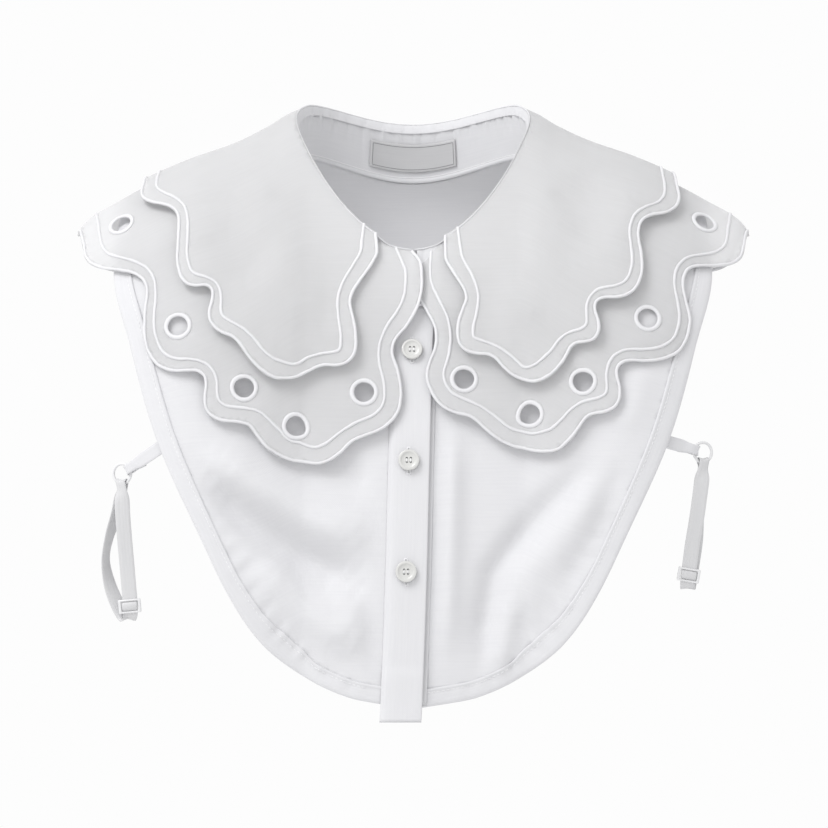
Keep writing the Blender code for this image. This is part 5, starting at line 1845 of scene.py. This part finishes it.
@dataclass
class CollarTier:
    """One half of a collar tier: its sheet, its satin-stitched cords and its eyelets."""

    side: Side
    tier: Tier
    front: Sequence[Corner]
    back: Sequence[Corner]
    start_out: float
    tip: float
    eyelets: Sequence[tuple[float, float]] = ()
    cord_half_width: float = 0.85
    eyelet_radius: float = 5.3
    eyelet_rim: float = 2.4
    lift_neck: float = 2.6
    lift_edge: float = 4.6
    lift_run: float = 40.0
    tuck: float = 2.9
    tip_radius: float = 30.0
    front_wave: float = 0.8
    back_wave: float = 1.5
    lower_fold_share: float = 0.7
    oval_centre: float = 45.0
    oval_half_length: float = 88.0
    step: float = 2.6
    cloth: float = 0.35

    @property
    def upper(self) -> bool:
        """Whether this is the upper tier."""
        return self.tier is Tier.UPPER

    @property
    def name(self) -> str:
        """Start of the names of its pieces."""
        return f"{self.tier.value}_tier_{self.side.word}"

    def beyond_neck(self, flat: Flat) -> np.ndarray:
        """How far a place lies outside the neck, in shares of the neck's size."""
        out = flat[..., 0] / COLLAR.neck_half_width
        fall = (flat[..., 1] + self.oval_centre) / self.oval_half_length
        return np.maximum(0.0, np.hypot(out, fall) - 1.0)

    def relief(self, flat: Flat) -> np.ndarray:
        """Soft unevenness of the sheet: broad waves from the neck to the edge."""
        out, fall = flat[..., 0], flat[..., 1]
        angle = np.arctan2(out, -(fall + self.oval_centre))
        seed = 1.0 + self.side.value + (3.0 if self.upper else 0.0)
        wave = self.front_wave * uneven(angle * 100.0, 95.0, seed)
        height = COLLAR.height_of(flat)
        back = self.back_wave * uneven(angle * 70.0, 80.0, seed + 1.0)
        folds = sum(fold.swell(out, height) for fold in COLLAR_FOLDS)
        share = 1.0 if self.upper else self.lower_fold_share
        return (wave + np.where(fall < 0.0, folds * share, back * ease(fall / 40.0))
                ) * ease(self.beyond_neck(flat) / 0.5)

    def surface(self, flat: Flat, lift: float | np.ndarray) -> np.ndarray:
        """Points of the tier: the upper one stands off the lower, and the right halves
        tuck below the left ones where they cross at the centre."""
        out, fall = flat[..., 0], flat[..., 1]
        away = self.beyond_neck(flat) * COLLAR.neck_half_width
        stand_off = np.zeros_like(out)
        if self.upper:
            stand_off = self.lift_neck + (self.lift_edge - self.lift_neck) * ease(
                away / self.lift_run)
        elif self.side is Side.RIGHT:
            above = ease(-(fall + 104.0) / 12.0) * ease((fall + 186.0) / 14.0)
            stand_off = -self.tuck * ease((15.0 - out) / 11.0) * above
        return COLLAR.lifted(flat, lift + stand_off + self.relief(flat))

    def neck_line(self) -> Flat:
        """Flat points of the neck edge, from the centre back to the front end."""
        inset = 2.0 if self.upper else 0.9
        start = math.asin(self.start_out / COLLAR.neck_half_width)
        end = start if self.side is Side.RIGHT else 2.0 * math.pi + start
        count = round(abs(end - math.pi) * COLLAR.neck_half_width / 2.2)
        line = COLLAR.neck(np.linspace(math.pi, end, count), inset)
        line[0, 0] = self.side.value * SEAM_GAP
        return line

    def corners(self, start: Flat) -> list[tuple[Flat, float]]:
        """Corners of the outer edge from the neck over the shoulder to the centre back."""
        hand = self.side.value
        found = [(start, 0.0)]
        found += [(COLLAR.spot(hand * out, height, -1), radius)
                  for out, height, radius in self.front]
        found.append((np.array([hand * self.tip, 0.0]), self.tip_radius))
        found += [(COLLAR.spot(hand * out, height, 1), radius)
                  for out, height, radius in self.back]
        return [*found, (COLLAR.spot(hand * SEAM_GAP, self.back[-1][1], 1), 0.0)]

    def circle(self, middle: Flat, radius: float, sides: int) -> Flat:
        """Flat points of a true circle on the collar's form."""
        across, along = COLLAR.slopes(middle)
        width = float(np.linalg.norm(across))
        level = float(along @ unit(across))
        square = float(np.linalg.norm(along - unit(across) * level))
        turn = circle_turns(sides)
        rise = radius * np.sin(turn) / square
        shift = radius * np.cos(turn) / width - level / width * rise
        return middle + np.stack([shift, rise], -1)

    def led_round(self, line: Flat, places: Sequence[Flat]) -> Flat:
        """A cord's line, led past the rims of the eyelets instead of across them."""
        line = line.copy()
        room = self.eyelet_radius + self.eyelet_rim + self.cord_half_width + 0.1
        for middle in places:
            away = COLLAR.place(line) - COLLAR.place(middle)
            distance = np.maximum(np.linalg.norm(away, axis=1), 0.1)
            share = np.maximum(1.0, room / distance)[:, None]
            line = middle + (line - middle) * share
        return eased(line, 3)

    def cord(self, name: str, line: Flat, rise: float, seed: float,
             finishes: Finishes) -> Piece:
        """A satin-stitched cord, a little uneven in its width and its line."""
        line = resample(line, 1.1)
        at = run_length(line)
        half = self.cord_half_width * (1.0 + 0.13 * uneven(at, 31.0, seed))
        line = offset(line, 0.16 * uneven(at, 23.0, seed + 2.0))
        rings = cord_rings(self.surface, line, half, rise, 0.55)
        return swept(name, rings, finishes.satin_cord)

    def eyelet(self, number: int, middle: Flat, finishes: Finishes) -> Piece:
        """A round hole's satin-stitched rim."""
        line = self.circle(middle, self.eyelet_radius + self.eyelet_rim / 2.0 - 0.05, 56)
        half = self.eyelet_rim / 2.0 * (1.0 + 0.06 * np.sin(circle_turns(56) * 3.0 + number))
        rings = cord_rings(self.surface, line, half, 0.75, 0.6, 12, closed=True)
        return swept(f"{self.name}_eyelet_{number}", rings, finishes.satin_cord,
                     closed=True)

    def build(self, finishes: Finishes) -> list[Piece]:
        """Make the tier half.

        Args:
            finishes: The garment's finishes.

        Returns:
            The pieces.
        """
        hand = self.side.value
        neck = self.neck_line()
        edge = flowing(self.corners(neck[-1]), 1.8)
        centre_back = resample(np.stack([edge[-1], neck[0]]), 2.4)[1:-1]
        loop = np.concatenate([neck[:-1], edge, centre_back])
        places = [COLLAR.spot(hand * out, height, -1) for out, height in self.eyelets]
        if not self.upper:
            places += [COLLAR.spot(hand * out, height, 1) for out, height in EYELETS_BACK]
        holes = [self.circle(middle, self.eyelet_radius + 0.5, 40) for middle in places]
        sheet = ClothSheet(f"{self.name}_organza", self.surface, loop, holes, self.step,
                           self.cloth)
        cloth = sheet.build(finishes.organza, "organza", [self.name])
        insets = (UPPER_CORD_INSET if self.upper else LOWER_CORD_INSET)(np.abs(edge[:, 0]))
        crest = eased(offset(edge, -hand * insets), 14)
        back_from_end = float(run_length(neck)[-1] - insets[0])
        first = [np.interp(back_from_end, run_length(neck), neck[:, k]) for k in (0, 1)]
        crest = np.concatenate([[first], crest[inside(crest, loop)][3:]])
        crest = self.led_round(crest, places)
        rim = offset(edge, -hand * self.cord_half_width * 0.95)
        trim = [self.cord(f"{self.name}_edge_cord", rim, 0.75, 1.0 + hand, finishes),
                self.cord(f"{self.name}_inner_cord", crest, 0.7, 4.0 + hand, finishes)]
        trim += [self.eyelet(number, middle, finishes) for number, middle in enumerate(places)]
        return [cloth, *trim]


def make_tiers() -> list[CollarTier]:
    """The four halves of the two tiers."""
    return [
        CollarTier(Side.LEFT, Tier.LOWER, LOWER_LEFT_FRONT, LOWER_BACK, -0.2, 185.0,
                   EYELETS_LEFT),
        CollarTier(Side.RIGHT, Tier.LOWER, LOWER_RIGHT_FRONT, LOWER_BACK, 0.8, 185.0,
                   EYELETS_RIGHT),
        CollarTier(Side.LEFT, Tier.UPPER, UPPER_LEFT_FRONT, UPPER_BACK, -20.0, 145.5),
        CollarTier(Side.RIGHT, Tier.UPPER, UPPER_RIGHT_FRONT, UPPER_BACK, 17.2, 141.5),
    ]


# Light, floor and camera

@dataclass(frozen=True)
class Studio:
    """A plain pale floor, soft light and a camera straight in front."""

    camera_out: float = 0.00055
    camera_distance: float = 2.5
    camera_height: float = -0.12925
    lens: float = 197.6
    floor_height: float = -0.75
    floor_size: float = 6.0
    world_light: float = 1.0

    def build(self) -> None:
        """Set up the floor, the lights, the world and the camera."""
        scene = bpy.context.scene
        scene.view_settings.view_transform = "Standard"
        bpy.ops.mesh.primitive_plane_add(size=self.floor_size,
                                         location=(0.0, 0.0, self.floor_height))
        floor = bpy.context.object
        floor.name = "floor"
        floor.data.materials.append(MouldedFinish(
            "pale floor", "F2F2F2", "EFEFEF", 400.0, 0.9, 1.45).build())
        world = bpy.data.worlds.new("studio")
        scene.world = world
        world.use_nodes = True
        sky = world.node_tree.nodes["Background"]
        sky.inputs["Color"].default_value = linear("FDFDFD")
        sky.inputs["Strength"].default_value = self.world_light
        self.lamp("key", "AREA", {"size": 1.4, "energy": 48.0}, (-1.35, -1.25, 1.95),
                  (0.0, 0.0, -0.13))
        self.lamp("neck light", "SPOT", {
            "energy": 15.0, "spot_size": math.radians(5.0), "spot_blend": 0.9,
            "shadow_soft_size": 0.05}, (0.0, -1.3, 0.2), (0.0, 0.06, -0.035))
        camera_data = bpy.data.cameras.new("camera")
        camera_data.lens = self.lens
        camera_data.sensor_width = 36.0
        camera_data.clip_end = 50.0
        camera = bpy.data.objects.new("camera", camera_data)
        scene.collection.objects.link(camera)
        camera.location = (self.camera_out, -self.camera_distance, self.camera_height)
        camera.rotation_euler = (math.pi / 2.0, 0.0, 0.0)
        scene.camera = camera

    def lamp(self, name: str, kind: str, settings: dict[str, float],
             place: tuple[float, float, float], target: tuple[float, float, float]) -> None:
        """Add a light at a place and point it at a target.

        Args:
            name: Name of the light.
            kind: Its type name.
            settings: Its properties.
            place: Where it stands, in metres.
            target: What it points at, in metres.
        """
        data = bpy.data.lights.new(name, kind)
        for key, value in settings.items():
            setattr(data, key, value)
        lamp = bpy.data.objects.new(name, data)
        bpy.context.scene.collection.objects.link(lamp)
        lamp.location = place
        lamp.rotation_euler = (Vector(target) - Vector(place)).to_track_quat(
            "-Z", "Y").to_euler()


def main() -> None:
    """Build every sub-assembly in order and report each piece."""
    logging.basicConfig(level=logging.INFO, format="%(message)s")
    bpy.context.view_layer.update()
    finishes = Finishes.make()
    bib = Bib()
    builders = [bib, Placket(bib), NeckBand(), *make_tiers(), SideStrap(bib, LEFT_ROUTE),
                SideStrap(bib, RIGHT_ROUTE)]
    for builder in builders:
        for piece in builder.build(finishes):
            LOG.info("%s: %d faces", piece.name, len(piece.data.polygons))
    Studio().build()


if __name__ == "__main__":
    main()
